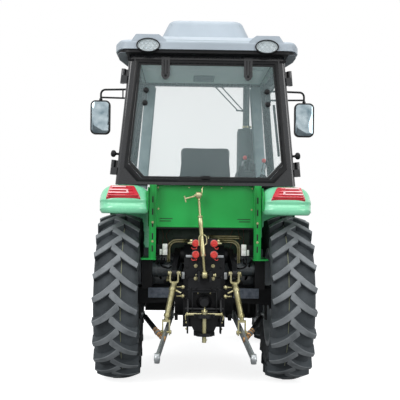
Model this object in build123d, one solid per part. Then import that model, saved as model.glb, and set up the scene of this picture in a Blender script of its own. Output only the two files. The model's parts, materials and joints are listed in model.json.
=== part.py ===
from build123d import *
from math import acos, asin, atan2, cos, degrees, hypot, pi, radians, sin, tan
import os

# Farm tractor with a closed cab, four-wheel drive and a rear three-point linkage.
# Millimetres. +Y is forward, +X is the tractor's right side, +Z is up, ground at z = 0.
# Pieces are drawn from the ground point under the rear axle, then shifted so that the
# origin lies under the middle of the whole machine.

# Fits
SEAT_GAP = 0.3
RUNNING_GAP = 0.05
MOVING_GAP = 6.0

# Ground plan
WHEELBASE = 2050.0
REAR_TRACK = 1278.0
FRONT_TRACK = 1350.0

# Rear wheels
REAR_TYRE_R = 630.0
REAR_TYRE_W = 324.0
REAR_TREAD_W = 314.0
REAR_LUG_H = 38.0
REAR_LUG_W = 72.0
REAR_LUGS = 22
REAR_RIM_R = 352.0
REAR_FLANGE_R = 378.0
REAR_RIM_W = 280.0
REAR_DISC_OFFSET = -20.0
REAR_HUB_R = 110.0
REAR_SHAFT_R = 45.0
REAR_WEB_HOLES = 8
REAR_WEB_HOLE_R = 34.0

# Front wheels
FRONT_TYRE_R = 445.0
FRONT_TYRE_W = 211.0
FRONT_TREAD_W = 202.0
FRONT_LUG_H = 30.0
FRONT_LUG_W = 52.0
FRONT_LUGS = 16
FRONT_RIM_R = 250.0
FRONT_FLANGE_R = 270.0
FRONT_RIM_W = 190.0
FRONT_DISC_OFFSET = -35.0
FRONT_HUB_R = 85.0
FRONT_SHAFT_R = 35.0
FRONT_WEB_HOLES = 6
FRONT_WEB_HOLE_R = 22.0

RIM_WALL = 8.0
DISC_WALL = 12.0
HUB_BOSS = 25.0
SHAFT_ENGAGEMENT = 60.0

# Front axle and steering
KINGPIN_X = FRONT_TRACK / 2 - 155.0
KINGPIN_R = 28.0
AXLE_BEAM_Z = 590.0
AXLE_BEAM_R = 62.0
KNUCKLE_R = 72.0
AXLE_PIVOT_Z = 650.0
AXLE_PIVOT_R = 30.0
DRIVE_X = 60.0
DRIVE_Z = 560.0
DRIVE_TUBE_R = 32.0
KNUCKLE_BASE_Z = 355.0
STEER_ARM_REACH = 190.0
STEER_ARM_Z = 392.0
TIE_ROD_R = 13.0

# Gearbox and rear axle
CASE_HALF_W = 155.0
CASE_REAR_Y = -300.0
CASE_TOP_Z = 860.0
CASE_BASE_Z = 430.0
BELL_BASE_Z = 600.0
BELL_TOP_Z = 930.0
BELL_HALF_W = 190.0
DROP_BOX_Y = 740.0
ENGINE_REAR_Y = 1200.0
ENGINE_FRONT_Y = WHEELBASE - 170.0
ENGINE_HALF_W = 190.0
ENGINE_BASE_Z = 620.0
ENGINE_TOP_Z = 1090.0
TRUMPET_HALF_H = 82.0

# Frame rails, nose and weights
RAIL_X = 215.0
RAIL_W = 30.0
RAIL_BASE_Z = 670.0
RAIL_TOP_Z = 800.0
FRONT_REACH = 2850.0
WEIGHT_COUNT = 6
WEIGHT_W = 78.0
WEIGHT_PITCH = WEIGHT_W + MOVING_GAP
WEIGHT_LENGTH = 220.0
NOSE_Y = FRONT_REACH - WEIGHT_LENGTH - 30.0
RADIATOR_Y = WHEELBASE + 30.0
RADIATOR_THICK = 80.0

# Hood
HOOD_REAR_Y = 1185.0
HOOD_REAR_Z = 1395.0
HOOD_HALF_W = 300.0
HOOD_BASE_Z = 905.0
HOOD_NOSE_Y = NOSE_Y + 40.0
HOOD_WALL = 10.0
HOOD_PIN_Y = 1200.0
HOOD_PIN_Z = 1350.0
HOOD_PIN_R = 8.0
LOUVRES = 9
LOUVRE_PITCH = 56.0
GRILLE_BARS = 7

# Exhaust
EXHAUST_X = 412.0
EXHAUST_Y = 1262.0
EXHAUST_R = 31.0
EXHAUST_TOP_Z = 2570.0
MUFFLER_R = 75.0
MUFFLER_BASE_Z = 1330.0
MUFFLER_LENGTH = 730.0

# Cab
CAB_TILT = 5.55
CAB_HALF_W = 664.0
CAB_REF_Z = 1486.0
CAB_REAR_Y = -365.0
CAB_BASE_Z = 1476.0
CAB_TOP_Z = 2430.0
CAB_FRONT_BASE_Y = 1155.0
CAB_FRONT_TOP_Y = 965.0
PILLAR = 62.0
HEADER_H = 28.0
DOOR_RIM = 44.0
DOOR_THICK = 34.0
GLASS_THICK = 6.0
FLOOR_Z = 950.0
DECK_Z = 1165.0
SHEET = 12.0
CAB_SILL_Z = FLOOR_Z + PILLAR * sin(radians(CAB_TILT)) + SEAT_GAP

# Roof
ROOF_REAR_Y = -480.0
ROOF_FRONT_Y = 1060.0
ROOF_HALF_W = 673.0
ROOF_WAIST = 60.0
ROOF_PAN_H = 24.0
ROOF_SHELL_H = 68.0
DOME_H = 80.0
HUMP_TOP_Z = 2808.0
HUMP_REAR_Y = 60.0
HUMP_LENGTH = 900.0
HUMP_W = 800.0
LAMP_X = 430.0
LAMP_Z = 2480.0
LAMP_HALF_W = 86.0
LAMP_HALF_H = 52.0

# Fenders and rear panel
FENDER_IN_X = 415.0
FENDER_OUT_X = 766.0
FENDER_TOP_Z = 1470.0
FENDER_REAR_Y = -515.0
FENDER_LIP_Z = 1266.0
FENDER_LIP_R = 25.0
FENDER_ROUND = 60.0
FENDER_WALL = 12.0
BEAM_X = 360.0

# Three-point linkage
LIFT_Y = -80.0
LIFT_Z = 950.0
LIFT_ARM = 320.0
LIFT_ARM_DROP = 22.0
LIFT_SHAFT_R = 28.0
LINK_Y = -40.0
LINK_Z = 490.0
LINK_FRONT_X = 238.0
LINK_BALL_X = 325.0
LINK_LENGTH = 850.0
LINK_PIN_ARM = 370.0
LINK_DROP = 13.56
BALL_BORE_R = 11.2
BALL_WIDTH = 35.0
BALL_EYE_R = 34.0
TOP_LINK_Y = -420.0
TOP_LINK_Z = 820.0
TOP_LINK_LENGTH = 585.0
TOP_LINK_LEAN = 4.0
TOP_LINK_SIDE = 5.0
TOP_LINK_BORE_R = 9.7
TOP_LINK_PIN_R = 9.5
LINK_PIN_R = 11.0
LINK_LUG_X = 193.0
LINK_LUG_W = 25.0
STAY_X = 478.0
STAY_PIN_R = 9.0
STAY_SHARE = 0.61
CAB_STAND_Z = 925.0
HITCH_PLATE_X = 120.0
PIPE_X = 262.0
PIPE_END_Y = 20.0
PIPE_END_Z = 745.0

REAR_REACH = -LINK_Y + LINK_LENGTH * cos(radians(LINK_DROP)) + BALL_EYE_R
REAR_AXLE_Y = (REAR_REACH - FRONT_REACH) / 2
REAR_AXLE_Z = REAR_TYRE_R
FRONT_AXLE_Z = FRONT_TYRE_R


# Drawing helpers
def block(x, y, z):
    centre = ((x[0] + x[1]) / 2, (y[0] + y[1]) / 2, (z[0] + z[1]) / 2)
    return Pos(*centre) * Box(x[1] - x[0], y[1] - y[0], z[1] - z[0])


def outline(points, corner=0.0):
    face = make_face(Polyline(*points, close=True))
    return fillet(face.vertices(), corner) if corner else face


def side_prism(face, x):
    """A (y, z) face carried across the machine between two x values."""
    return extrude(Pos(x[0], 0, 0) * (Plane.YZ * face), amount=x[1] - x[0], dir=(1, 0, 0))


def rear_prism(face, y):
    """An (x, z) face carried forward between two y values."""
    return extrude(Pos(0, y[0], 0) * (Plane.XZ * face), amount=y[1] - y[0], dir=(0, 1, 0))


def plan_prism(face, z):
    """An (x, y) face carried up between two z values."""
    return extrude(Pos(0, 0, z[0]) * face, amount=z[1] - z[0], dir=(0, 0, 1))


def rod(start, end, radius):
    run = Vector(*end) - Vector(*start)
    plane = Plane(origin=start, z_dir=run)
    return plane * Cylinder(radius, run.length, align=(Align.CENTER, Align.CENTER, Align.MIN))


def pipe(points, bend, radius):
    path = FilletPolyline(*points, radius=bend)
    return sweep(Plane(origin=path @ 0, z_dir=path % 0) * Circle(radius), path=path)


def spun(points):
    """A closed (x, radius) outline turned about the X axis."""
    return revolve(make_face(Polyline(*points, close=True)), axis=Axis.X)


def left_of(shape):
    return mirror(shape, about=Plane.YZ)


def pair(shape):
    return Compound([*shape.solids(), *left_of(shape).solids()])


# Wheels
def facet_solid(points, faces):
    return Solid(Shell([Face(Wire.make_polygon([points[i] for i in face], close=True)) for face in faces]))


def faceted_ring(profile, sectors):
    """A closed (x, radius) outline carried round the X axis in flat facets."""
    points, faces, count = [], [], len(profile)
    for i in range(sectors):
        turn = 2 * pi * i / sectors
        points += [(x, -r * cos(turn), r * sin(turn)) for x, r in profile]
        ahead = (i + 1) % sectors
        for k in range(count):
            after = (k + 1) % count
            faces.append((i * count + k, i * count + after, ahead * count + after, ahead * count + k))
    return facet_solid(points, faces)


def lug(radius, tread, lug_w, depth, turn, side):
    """One tread bar, from its nose across the middle line down to the shoulder."""
    cross = 0.2 * tread
    fall = 0.78 * (tread + cross)
    nose, tail = lug_w / 2, 0.28 * lug_w
    shift = fall / 2
    bar = [(-side * cross, shift + nose), (side * tread, shift - fall + tail)]
    bar += [(side * tread, shift - fall - tail), (-side * cross, shift - nose)]
    reach = (radius**2 - (shift + nose) ** 2) ** 0.5
    out = (0, -cos(turn), sin(turn))
    plane = Plane(origin=(0, reach * out[1], reach * out[2]), x_dir=(1, 0, 0), z_dir=out)
    return extrude(plane * outline(bar), amount=-depth)


def tyre(radius, width, tread_w, lug_h, rim_r, flange_r, rim_w, lugs, lug_w):
    """A carcass down to the rim, with bars in a V that points up at the back."""
    half, tread, seat = width / 2, tread_w / 2, rim_w / 2 - RIM_WALL - SEAT_GAP
    bore = (rim_r + SEAT_GAP) / cos(pi / lugs)
    crown = radius - lug_h
    swell = flange_r + 0.55 * (crown - flange_r)
    right = [(seat, bore), (seat, flange_r + 12), (half, swell), (0.87 * tread, crown)]
    carcass = faceted_ring(right + [(-x, r) for x, r in reversed(right)], lugs)
    bars = []
    for i in range(lugs):
        for side in (1, -1):
            turn = 2 * pi * (i + (0.5 if side < 0 else 0)) / lugs
            bars.append(lug(radius, tread, lug_w, radius - swell - 6, turn, side))
    return carcass.fuse(*bars)


def rim(rim_r, flange_r, rim_w, disc_x, hub_r, shaft_r, barrel_x):
    hw, t = rim_w / 2, RIM_WALL
    disc_r = 1.45 * hub_r
    well = rim_r - t
    face = disc_x + DISC_WALL
    cap = face + HUB_BOSS
    end = disc_x - HUB_BOSS - MOVING_GAP - SHAFT_ENGAGEMENT
    points = [(-hw, flange_r), (-hw + t, flange_r), (-hw + t, rim_r), (hw - t, rim_r)]
    points += [(hw - t, flange_r), (hw, flange_r), (hw, well), (barrel_x + DISC_WALL, well)]
    points += [(face, disc_r), (face, 0.55 * hub_r), (cap, 0.5 * hub_r), (cap, 0)]
    points += [(end, 0), (end, shaft_r), (disc_x - HUB_BOSS, shaft_r)]
    points += [(disc_x - HUB_BOSS, hub_r), (disc_x, hub_r), (disc_x, disc_r)]
    points += [(barrel_x, well), (-hw, well)]
    return spun(points)


def rear_wheel():
    place = Pos(REAR_TRACK / 2, 0, REAR_AXLE_Z)
    tread = REAR_TREAD_W, REAR_LUG_H
    seat = REAR_RIM_R, REAR_FLANGE_R, REAR_RIM_W
    rubber = tyre(REAR_TYRE_R, REAR_TYRE_W, *tread, *seat, REAR_LUGS, REAR_LUG_W)
    metal = rim(*seat, REAR_DISC_OFFSET, REAR_HUB_R, REAR_SHAFT_R, 25.0)
    metal = web_holes(metal, REAR_WEB_HOLES, REAR_WEB_HOLE_R, (1.45 * REAR_HUB_R + REAR_RIM_R) / 2)
    return place * rubber, place * metal


def front_wheel():
    place = Pos(FRONT_TRACK / 2, WHEELBASE, FRONT_AXLE_Z)
    tread = FRONT_TREAD_W, FRONT_LUG_H
    seat = FRONT_RIM_R, FRONT_FLANGE_R, FRONT_RIM_W
    rubber = tyre(FRONT_TYRE_R, FRONT_TYRE_W, *tread, *seat, FRONT_LUGS, FRONT_LUG_W)
    metal = rim(*seat, FRONT_DISC_OFFSET, FRONT_HUB_R, FRONT_SHAFT_R, 10.0)
    metal = web_holes(metal, FRONT_WEB_HOLES, FRONT_WEB_HOLE_R, (1.45 * FRONT_HUB_R + FRONT_RIM_R) / 2)
    return place * rubber, place * metal


def web_holes(metal, count, hole_r, pitch_r):
    for i in range(count):
        turn = 2 * pi * (i + 0.5) / count
        y, z = pitch_r * cos(turn), pitch_r * sin(turn)
        metal -= rod((-80, y, z), (80, y, z), hole_r)
    return metal


def hub_face_x(track, disc_x):
    """Where the fixed housing ends, a moving gap inboard of the wheel's hub."""
    return track / 2 + disc_x - HUB_BOSS - MOVING_GAP


# Rear axle and gearbox
def rear_axle_housing():
    end_x = hub_face_x(REAR_TRACK, REAR_DISC_OFFSET)
    brake_x, cap_x = LINK_LUG_X + LINK_LUG_W, end_x - 70
    h = TRUMPET_HALF_H
    near = outline([(-h - 25, 45 - h), (h + 25, 45 - h), (h + 25, h), (h, h + 20), (-h, h + 20), (-h - 25, h)])
    far = outline([(-h, 25 - h), (h, 25 - h), (h, h - 15), (h - 20, h), (20 - h, h), (-h, h - 15)])
    at = Plane(origin=(0, 0, REAR_AXLE_Z), x_dir=(0, 1, 0), z_dir=(1, 0, 0))
    body = loft([at.offset(brake_x) * near, at.offset(cap_x) * far])
    body += rod((CASE_HALF_W, 0, REAR_AXLE_Z), (brake_x, 0, REAR_AXLE_Z), 150)
    body += rod((cap_x, 0, REAR_AXLE_Z), (end_x, 0, REAR_AXLE_Z), 92)
    link_pin = (LINK_Y, LINK_Z)
    body += block((LINK_LUG_X, brake_x), (LINK_Y - 40, LINK_Y + 60), (LINK_Z - 40, REAR_AXLE_Z - 60))
    body -= rod((LINK_LUG_X - 1, *link_pin), (brake_x + 1, *link_pin), LINK_PIN_R + RUNNING_GAP)
    body += block((STAY_X, STAY_X + 14), (LINK_Y - 32, LINK_Y + 40), (LINK_Z - 32, REAR_AXLE_Z - 50))
    body += rod((STAY_X - 34, *link_pin), (STAY_X + 1, *link_pin), STAY_PIN_R)
    body += block((392, 470), (-105, 35), (REAR_AXLE_Z + 60, CAB_STAND_Z))
    body += block((PIPE_X - 20, PIPE_X + 45), (PIPE_END_Y - 20, PIPE_END_Y + 20), (REAR_AXLE_Z + 60, PIPE_END_Z))
    bore_end = end_x - SHAFT_ENGAGEMENT - 20
    return body - rod((bore_end, 0, REAR_AXLE_Z), (end_x + 1, 0, REAR_AXLE_Z), REAR_SHAFT_R + RUNNING_GAP)


def transmission_case():
    w, face_y = CASE_HALF_W, CASE_REAR_Y - 35
    body = block((-w, w), (CASE_REAR_Y, 320), (CASE_BASE_Z, CASE_TOP_Z))
    body += side_prism(outline([(320, 470), (760, BELL_BASE_Z), (760, 800), (320, 840)]), (-w + 20, w - 20))
    bell = [(760, BELL_BASE_Z), (ENGINE_REAR_Y, BELL_BASE_Z), (ENGINE_REAR_Y, BELL_TOP_Z), (980, BELL_TOP_Z), (760, 800)]
    body += side_prism(outline(bell), (-BELL_HALF_W, BELL_HALF_W))
    body += block((DRIVE_X - 50, DRIVE_X + 50), (600, DROP_BOX_Y), (DRIVE_Z - 70, BELL_BASE_Z + 10))
    body += block((-120, 120), (face_y, CASE_REAR_Y), (CASE_BASE_Z + 40, 790))
    body += block((-60, 60), (face_y, CASE_REAR_Y), (780, TOP_LINK_Z + 30))
    for x in (-50, 34):
        body += block((x, x + 16), (TOP_LINK_Y - 35, face_y), (TOP_LINK_Z - 45, TOP_LINK_Z + 30))
    return body + rod((-62, TOP_LINK_Y, TOP_LINK_Z), (62, TOP_LINK_Y, TOP_LINK_Z), TOP_LINK_PIN_R)


def engine_block():
    length = (ENGINE_REAR_Y, ENGINE_FRONT_Y)
    return block((-ENGINE_HALF_W, ENGINE_HALF_W), length, (ENGINE_BASE_Z, ENGINE_TOP_Z))


def radiator():
    return block((-210, 210), (RADIATOR_Y, RADIATOR_Y + RADIATOR_THICK), (RAIL_TOP_Z + 12, 1190))


# Frame, front axle and steering
def front_frame():
    inner, outer = RAIL_X, RAIL_X + RAIL_W
    rail = block((inner, outer), (ENGINE_REAR_Y + 20, NOSE_Y), (RAIL_BASE_Z, RAIL_TOP_Z))
    mount = block((ENGINE_HALF_W, inner), (ENGINE_REAR_Y + 60, ENGINE_REAR_Y + 200), (RAIL_BASE_Z + 20, RAIL_TOP_Z - 20))
    frame = rail + left_of(rail) + mount + left_of(mount)
    frame += block((-inner, inner), (NOSE_Y - 90, NOSE_Y), (RAIL_BASE_Z, RAIL_TOP_Z))
    shelf = (RADIATOR_Y - 20, RADIATOR_Y + RADIATOR_THICK + 20)
    frame += block((-inner, inner), shelf, (RAIL_TOP_Z - 12, RAIL_TOP_Z + 12))
    for y in (WHEELBASE - 150, WHEELBASE + 110):
        frame += block((-inner, inner), (y, y + 40), (AXLE_PIVOT_Z - AXLE_PIVOT_R - 8, RAIL_TOP_Z - 12))
    ends = WHEELBASE - 155, WHEELBASE + 155
    return frame + rod((0, ends[0], AXLE_PIVOT_Z), (0, ends[1], AXLE_PIVOT_Z), AXLE_PIVOT_R)


def front_axle_beam():
    z = AXLE_BEAM_Z
    body = rod((-KINGPIN_X, WHEELBASE, z), (KINGPIN_X, WHEELBASE, z), AXLE_BEAM_R)
    bulge = Pos(DRIVE_X, WHEELBASE, DRIVE_Z) * Sphere(115)
    body += bulge & block((-200, 200), (WHEELBASE - 104, WHEELBASE + 104), (400, 720))
    body += rod((DRIVE_X, WHEELBASE - 200, DRIVE_Z), (DRIVE_X, WHEELBASE, DRIVE_Z), 44)
    body += block((-75, 75), (WHEELBASE - 104, WHEELBASE + 104), (z, AXLE_PIVOT_Z + 50))
    body -= rod((0, WHEELBASE - 160, AXLE_PIVOT_Z), (0, WHEELBASE + 160, AXLE_PIVOT_Z), AXLE_PIVOT_R + RUNNING_GAP)
    for side in (-1, 1):
        x = side * KINGPIN_X
        body += rod((x, WHEELBASE, z - 65), (x, WHEELBASE, z + 75), KNUCKLE_R)
        body -= rod((x, WHEELBASE, z - 70), (x, WHEELBASE, z + 20), KINGPIN_R + RUNNING_GAP)
    return body


def driveshaft_tube():
    start = (DRIVE_X, DROP_BOX_Y + SEAT_GAP, DRIVE_Z)
    return rod(start, (DRIVE_X, WHEELBASE - 190, DRIVE_Z), DRIVE_TUBE_R)


def knuckle():
    x, top = KINGPIN_X, AXLE_BEAM_Z - 65 - MOVING_GAP
    end_x = hub_face_x(FRONT_TRACK, FRONT_DISC_OFFSET)
    drum = rod((x, WHEELBASE, KNUCKLE_BASE_Z), (x, WHEELBASE, top), KNUCKLE_R)
    kingpin = rod((x, WHEELBASE, top), (x, WHEELBASE, AXLE_BEAM_Z + 15), KINGPIN_R)
    hub = rod((x, WHEELBASE, FRONT_AXLE_Z), (end_x, WHEELBASE, FRONT_AXLE_Z), 68)
    bore = rod((end_x - SHAFT_ENGAGEMENT - 10, WHEELBASE, FRONT_AXLE_Z), (end_x + 1, WHEELBASE, FRONT_AXLE_Z), FRONT_SHAFT_R + RUNNING_GAP)
    arm_end = WHEELBASE - STEER_ARM_REACH
    arm = block((x - 18, x + 18), (arm_end, WHEELBASE - 40), (STEER_ARM_Z - 12, STEER_ARM_Z + 12))
    eye = rod((x, arm_end, STEER_ARM_Z - 12), (x, arm_end, STEER_ARM_Z + 12), 24)
    stud_hole = rod((x, arm_end, STEER_ARM_Z - 20), (x, arm_end, STEER_ARM_Z + 20), 10 + RUNNING_GAP)
    return drum + kingpin + hub + arm + eye - bore - stud_hole


def tie_rod():
    y, z = WHEELBASE - STEER_ARM_REACH, STEER_ARM_Z - 12 - MOVING_GAP - 16
    bar = rod((-KINGPIN_X, y, z), (KINGPIN_X, y, z), TIE_ROD_R)
    for side in (-1, 1):
        x = side * KINGPIN_X
        bar += rod((x, y, z - 16), (x, y, z + 16), 22)
        bar += rod((x, y, z), (x, y, STEER_ARM_Z + 10), 10)
    return bar


def front_weights():
    half = WEIGHT_COUNT * WEIGHT_PITCH / 2
    weights = block((-half, half), (NOSE_Y, NOSE_Y + 60), (RAIL_BASE_Z + 20, RAIL_TOP_Z - 20))
    rear, front, base, top = NOSE_Y + 30, FRONT_REACH, RAIL_BASE_Z - 110, RAIL_TOP_Z + 50
    plate = [(rear, base), (front - 40, base), (front, base + 60), (front, top - 50)]
    plate += [(front - 60, top), (rear, top)]
    for i in range(WEIGHT_COUNT):
        x = (i - (WEIGHT_COUNT - 1) / 2) * WEIGHT_PITCH
        weights += side_prism(outline(plate, 12), (x - WEIGHT_W / 2, x + WEIGHT_W / 2))
    return weights


# Hood
def hood_form(inset):
    rear, nose, base = HOOD_REAR_Y, HOOD_NOSE_Y, HOOD_BASE_Z - 4 * inset
    profile = [(rear - 4 * inset, base), (rear - 4 * inset, HOOD_REAR_Z - inset), (nose - 330, HOOD_REAR_Z - 95 - inset)]
    profile += [(nose - 70 - inset, HOOD_REAR_Z - 175 - inset), (nose - inset, HOOD_REAR_Z - 290), (nose - inset, base)]
    width = HOOD_HALF_W - inset
    form = side_prism(outline(profile), (-width, width))
    crown = form.edges().filter_by(lambda e: e.center().Z > HOOD_REAR_Z - 292).filter_by(lambda e: abs(abs(e.center().X) - width) < 1)
    return fillet(crown, 70 - inset)


def hood_shell():
    shell = hood_form(0) - hood_form(HOOD_WALL)
    mouth = HOOD_HALF_W - 45
    shell -= block((-mouth, mouth), (HOOD_NOSE_Y - 60, HOOD_NOSE_Y + 10), (HOOD_BASE_Z + 20, HOOD_REAR_Z - 320))
    for i in range(LOUVRES):
        y = HOOD_REAR_Y + 330 + i * LOUVRE_PITCH
        slot = [(y, 1010), (y + 60, 1130), (y + 60 + LOUVRE_PITCH / 2, 1130), (y + LOUVRE_PITCH / 2, 1010)]
        shell -= side_prism(outline(slot), (-HOOD_HALF_W - 5, HOOD_HALF_W + 5))
    for x in (-85, 70):
        lug = block((x, x + 15), (HOOD_PIN_Y - 15, HOOD_PIN_Y + 25), (HOOD_PIN_Z - 15, HOOD_REAR_Z - HOOD_WALL - 1))
        shell += lug
    return shell - rod((-90, HOOD_PIN_Y, HOOD_PIN_Z), (90, HOOD_PIN_Y, HOOD_PIN_Z), HOOD_PIN_R + RUNNING_GAP)


def hood_bulkhead():
    """The plate between hood and cab, with the pin that the hood swings on."""
    front = HOOD_REAR_Y - 17
    body = block((-285, 285), (front - 10, front), (BELL_TOP_Z + SEAT_GAP, HOOD_PIN_Z - 10))
    low, top, ahead = HOOD_PIN_Z - 40, HOOD_PIN_Z + 12, HOOD_PIN_Y + 15
    ear = [(front - 1, low), (ahead, low), (ahead, top), (HOOD_PIN_Y - 12, top), (front - 1, HOOD_PIN_Z - 10)]
    for x in (-106, 94):
        body += side_prism(outline(ear), (x, x + 12))
    return body + rod((-106, HOOD_PIN_Y, HOOD_PIN_Z), (106, HOOD_PIN_Y, HOOD_PIN_Z), HOOD_PIN_R)


def front_grille():
    w, y = HOOD_HALF_W - 45 - SEAT_GAP, HOOD_NOSE_Y
    low, high = HOOD_BASE_Z + 20 + SEAT_GAP, HOOD_REAR_Z - 320 - SEAT_GAP
    plate = block((-w, w), (y - 18, y - 4), (low, high))
    pitch = (high - low - 24) / GRILLE_BARS
    for i in range(GRILLE_BARS):
        z = low + 12 + i * pitch
        for side in (-1, 1):
            slot = Pos(side * (w / 2 - 2), z + pitch / 2) * RectangleRounded(w - 34, pitch * 0.5, pitch * 0.2)
            plate -= rear_prism(slot, (y - 20, y - 2))
    return plate


def headlamps():
    z = HOOD_REAR_Z - 365
    face = Pos(180, z) * RectangleRounded(130, 66, 28)
    lamp = rear_prism(face, (HOOD_NOSE_Y - 4 + SEAT_GAP, HOOD_NOSE_Y + 18))
    return pair(fillet(lamp.edges().group_by(Axis.Y)[-1], 8))


def exhaust_stack():
    x, y = EXHAUST_X, EXHAUST_Y
    low, high = MUFFLER_BASE_Z, MUFFLER_BASE_Z + MUFFLER_LENGTH
    muffler = rod((x, y, low), (x, y, high), MUFFLER_R)
    tail = pipe([(x, y, high), (x, y, EXHAUST_TOP_Z - 70), (x, y + 70, EXHAUST_TOP_Z)], 60, EXHAUST_R)
    inlet = ENGINE_TOP_Z - 225
    elbow = pipe([(x, y, low + 1), (x, y, inlet), (ENGINE_HALF_W + SEAT_GAP, y, inlet)], 60, EXHAUST_R)
    return muffler + tail + elbow


# Tanks and steps
def fuel_tank():
    body = side_prism(RectangleRounded(480, 260, 50), (210, 480))
    body = fillet((Pos(0, 880, 510) * body).edges().group_by(Axis.X)[-1], 30)
    return body + block((BELL_HALF_W + SEAT_GAP, 215), (850, 950), (605, 630))


def battery_box():
    body = block((-480, -230), (760, 1120), (430, 660))
    body = fillet(body.edges().filter_by(Axis.Z), 16) + block((-486, -224), (754, 1126), (655, 682))
    return body + block((-235, -BELL_HALF_W - SEAT_GAP), (850, 950), (610, 650))


def steps():
    frame = block((505, 520), (800, 815), (330, 930)) + block((505, 520), (1095, 1110), (330, 930))
    for z in (330, 560):
        frame += block((505, 665), (800, 1110), (z, z + 15))
    frame += block((400, 520), (800, 1110), (FLOOR_Z - SHEET - 14, FLOOR_Z - SHEET - SEAT_GAP))
    return pair(frame)


# Cab
def cab_plane(depth=0.0):
    tilt = radians(CAB_TILT)
    base = Plane(origin=(CAB_HALF_W, 0, CAB_REF_Z), x_dir=(0, 1, 0), z_dir=(cos(tilt), 0, sin(tilt)))
    return base.offset(-depth)


def cab_side_face(inset):
    """The side of the cab in its own leaning plane, drawn in by a margin."""
    stretch = 1 / cos(radians(CAB_TILT))
    points = [(CAB_REAR_Y, CAB_BASE_Z), (CAB_REAR_Y, CAB_TOP_Z), (CAB_FRONT_TOP_Y, CAB_TOP_Z)]
    points += [(CAB_FRONT_BASE_Y, CAB_SILL_Z), (775, CAB_SILL_Z), (775, 1030), (405, CAB_BASE_Z)]
    face = outline([(y, (z - CAB_REF_Z) * stretch) for y, z in points])
    return offset(face, amount=-inset, kind=Kind.INTERSECTION) if inset else face


def cab_sheet(face, depth, thick):
    return extrude(cab_plane(depth) * face, amount=-thick)


def cab_half_width(z):
    return CAB_HALF_W - (z - CAB_REF_Z) * tan(radians(CAB_TILT))


REAR_WINDOW_TOP = 2372.0
REAR_WINDOW_BASE = 1524.0
REAR_WINDOW_SIDE = 78.0
REAR_WINDOW_CHAMFER = 110.0
STRAP_X = 304.0
STRAP_W = 62.0


def rear_window_face(inset):
    top, base = REAR_WINDOW_TOP - inset, REAR_WINDOW_BASE + inset
    cut = REAR_WINDOW_CHAMFER
    points = []
    for sign in (1, -1):
        corner = [(cab_half_width(top) - REAR_WINDOW_SIDE - inset, top)]
        corner += [(cab_half_width(base + cut) - REAR_WINDOW_SIDE - inset, base + cut)]
        corner += [(cab_half_width(base) - REAR_WINDOW_SIDE - inset - cut, base)]
        points += [(sign * x, z) for x, z in (corner if sign > 0 else reversed(corner))]
    return outline(points)


def cab_frame():
    side = cab_sheet(cab_side_face(0) - cab_side_face(PILLAR), 0, PILLAR)
    corner = side.edges().filter_by(lambda e: abs(e.center().Y - CAB_REAR_Y) < 1 and e.length > 400)
    side = fillet(corner.sort_by(Axis.X)[-1], 26)
    edge = 30
    rim_points = [(cab_half_width(CAB_BASE_Z) - edge, CAB_BASE_Z), (cab_half_width(CAB_TOP_Z) - edge, CAB_TOP_Z)]
    rim_points += [(-x, z) for x, z in reversed(rim_points)]
    rear = rear_prism(outline(rim_points) - rear_window_face(0), (CAB_REAR_Y, CAB_REAR_Y + PILLAR))
    header = block((-555, 555), (CAB_FRONT_TOP_Y - 70, CAB_FRONT_TOP_Y - 10), (CAB_TOP_Z - HEADER_H, CAB_TOP_Z))
    half = cab_half_width(1370) - PILLAR + 10
    scuttle = block((-half, half), (front_y(1340) - 62, front_y(1340) - 8), (1310, 1370))
    half, toe_y = cab_half_width(CAB_SILL_Z + 50) - PILLAR + 10, front_y(CAB_SILL_Z + 20)
    toe = block((-half, half), (toe_y - 60, toe_y - 10), (FLOOR_Z, CAB_SILL_Z + 50))
    return side + left_of(side) + rear + header + scuttle + toe


def front_y(z):
    """The front edge of the windscreen pillars at a height."""
    share = (z - CAB_SILL_Z) / (CAB_TOP_Z - CAB_SILL_Z)
    return CAB_FRONT_BASE_Y + share * (CAB_FRONT_TOP_Y - CAB_FRONT_BASE_Y)


def pillar_slot(low, high, depth, thick, margin):
    """A sloping sheet between the windscreen pillars, from one height to another."""
    points = []
    for z in (low, high):
        points.append((front_y(z) - depth, z))
    for z in (high, low):
        points.append((front_y(z) - depth - thick, z))
    slab = side_prism(outline(points), (-CAB_HALF_W, CAB_HALF_W))
    taper = []
    for z in (low, high):
        taper.append((cab_half_width(z) - margin, z))
    taper += [(-x, z) for x, z in reversed(taper)]
    return slab & rear_prism(outline(taper), (0, 2 * CAB_FRONT_BASE_Y))


def windscreen():
    margin = PILLAR / cos(radians(CAB_TILT)) + 1
    return pillar_slot(1370 + SEAT_GAP, CAB_TOP_Z - HEADER_H - SEAT_GAP, 22, GLASS_THICK, margin)


def firewall():
    margin = PILLAR / cos(radians(CAB_TILT)) + 1
    return pillar_slot(CAB_SILL_Z + 50 + SEAT_GAP, 1310 - SEAT_GAP, 22, SHEET, margin)


def rear_window():
    glass = rear_prism(rear_window_face(SEAT_GAP), (CAB_REAR_Y + 8, CAB_REAR_Y + 8 + GLASS_THICK))
    return glass


def rear_window_strap():
    x, top = STRAP_X, CAB_TOP_Z - MOVING_GAP
    low = REAR_WINDOW_TOP - 94
    strap = block((x - STRAP_W / 2, x + STRAP_W / 2), (CAB_REAR_Y - 12, CAB_REAR_Y), (low, top))
    return strap + rod((x, CAB_REAR_Y - 12, low), (x, CAB_REAR_Y + 8 - SEAT_GAP, low), STRAP_W / 2 - 4)


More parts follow.
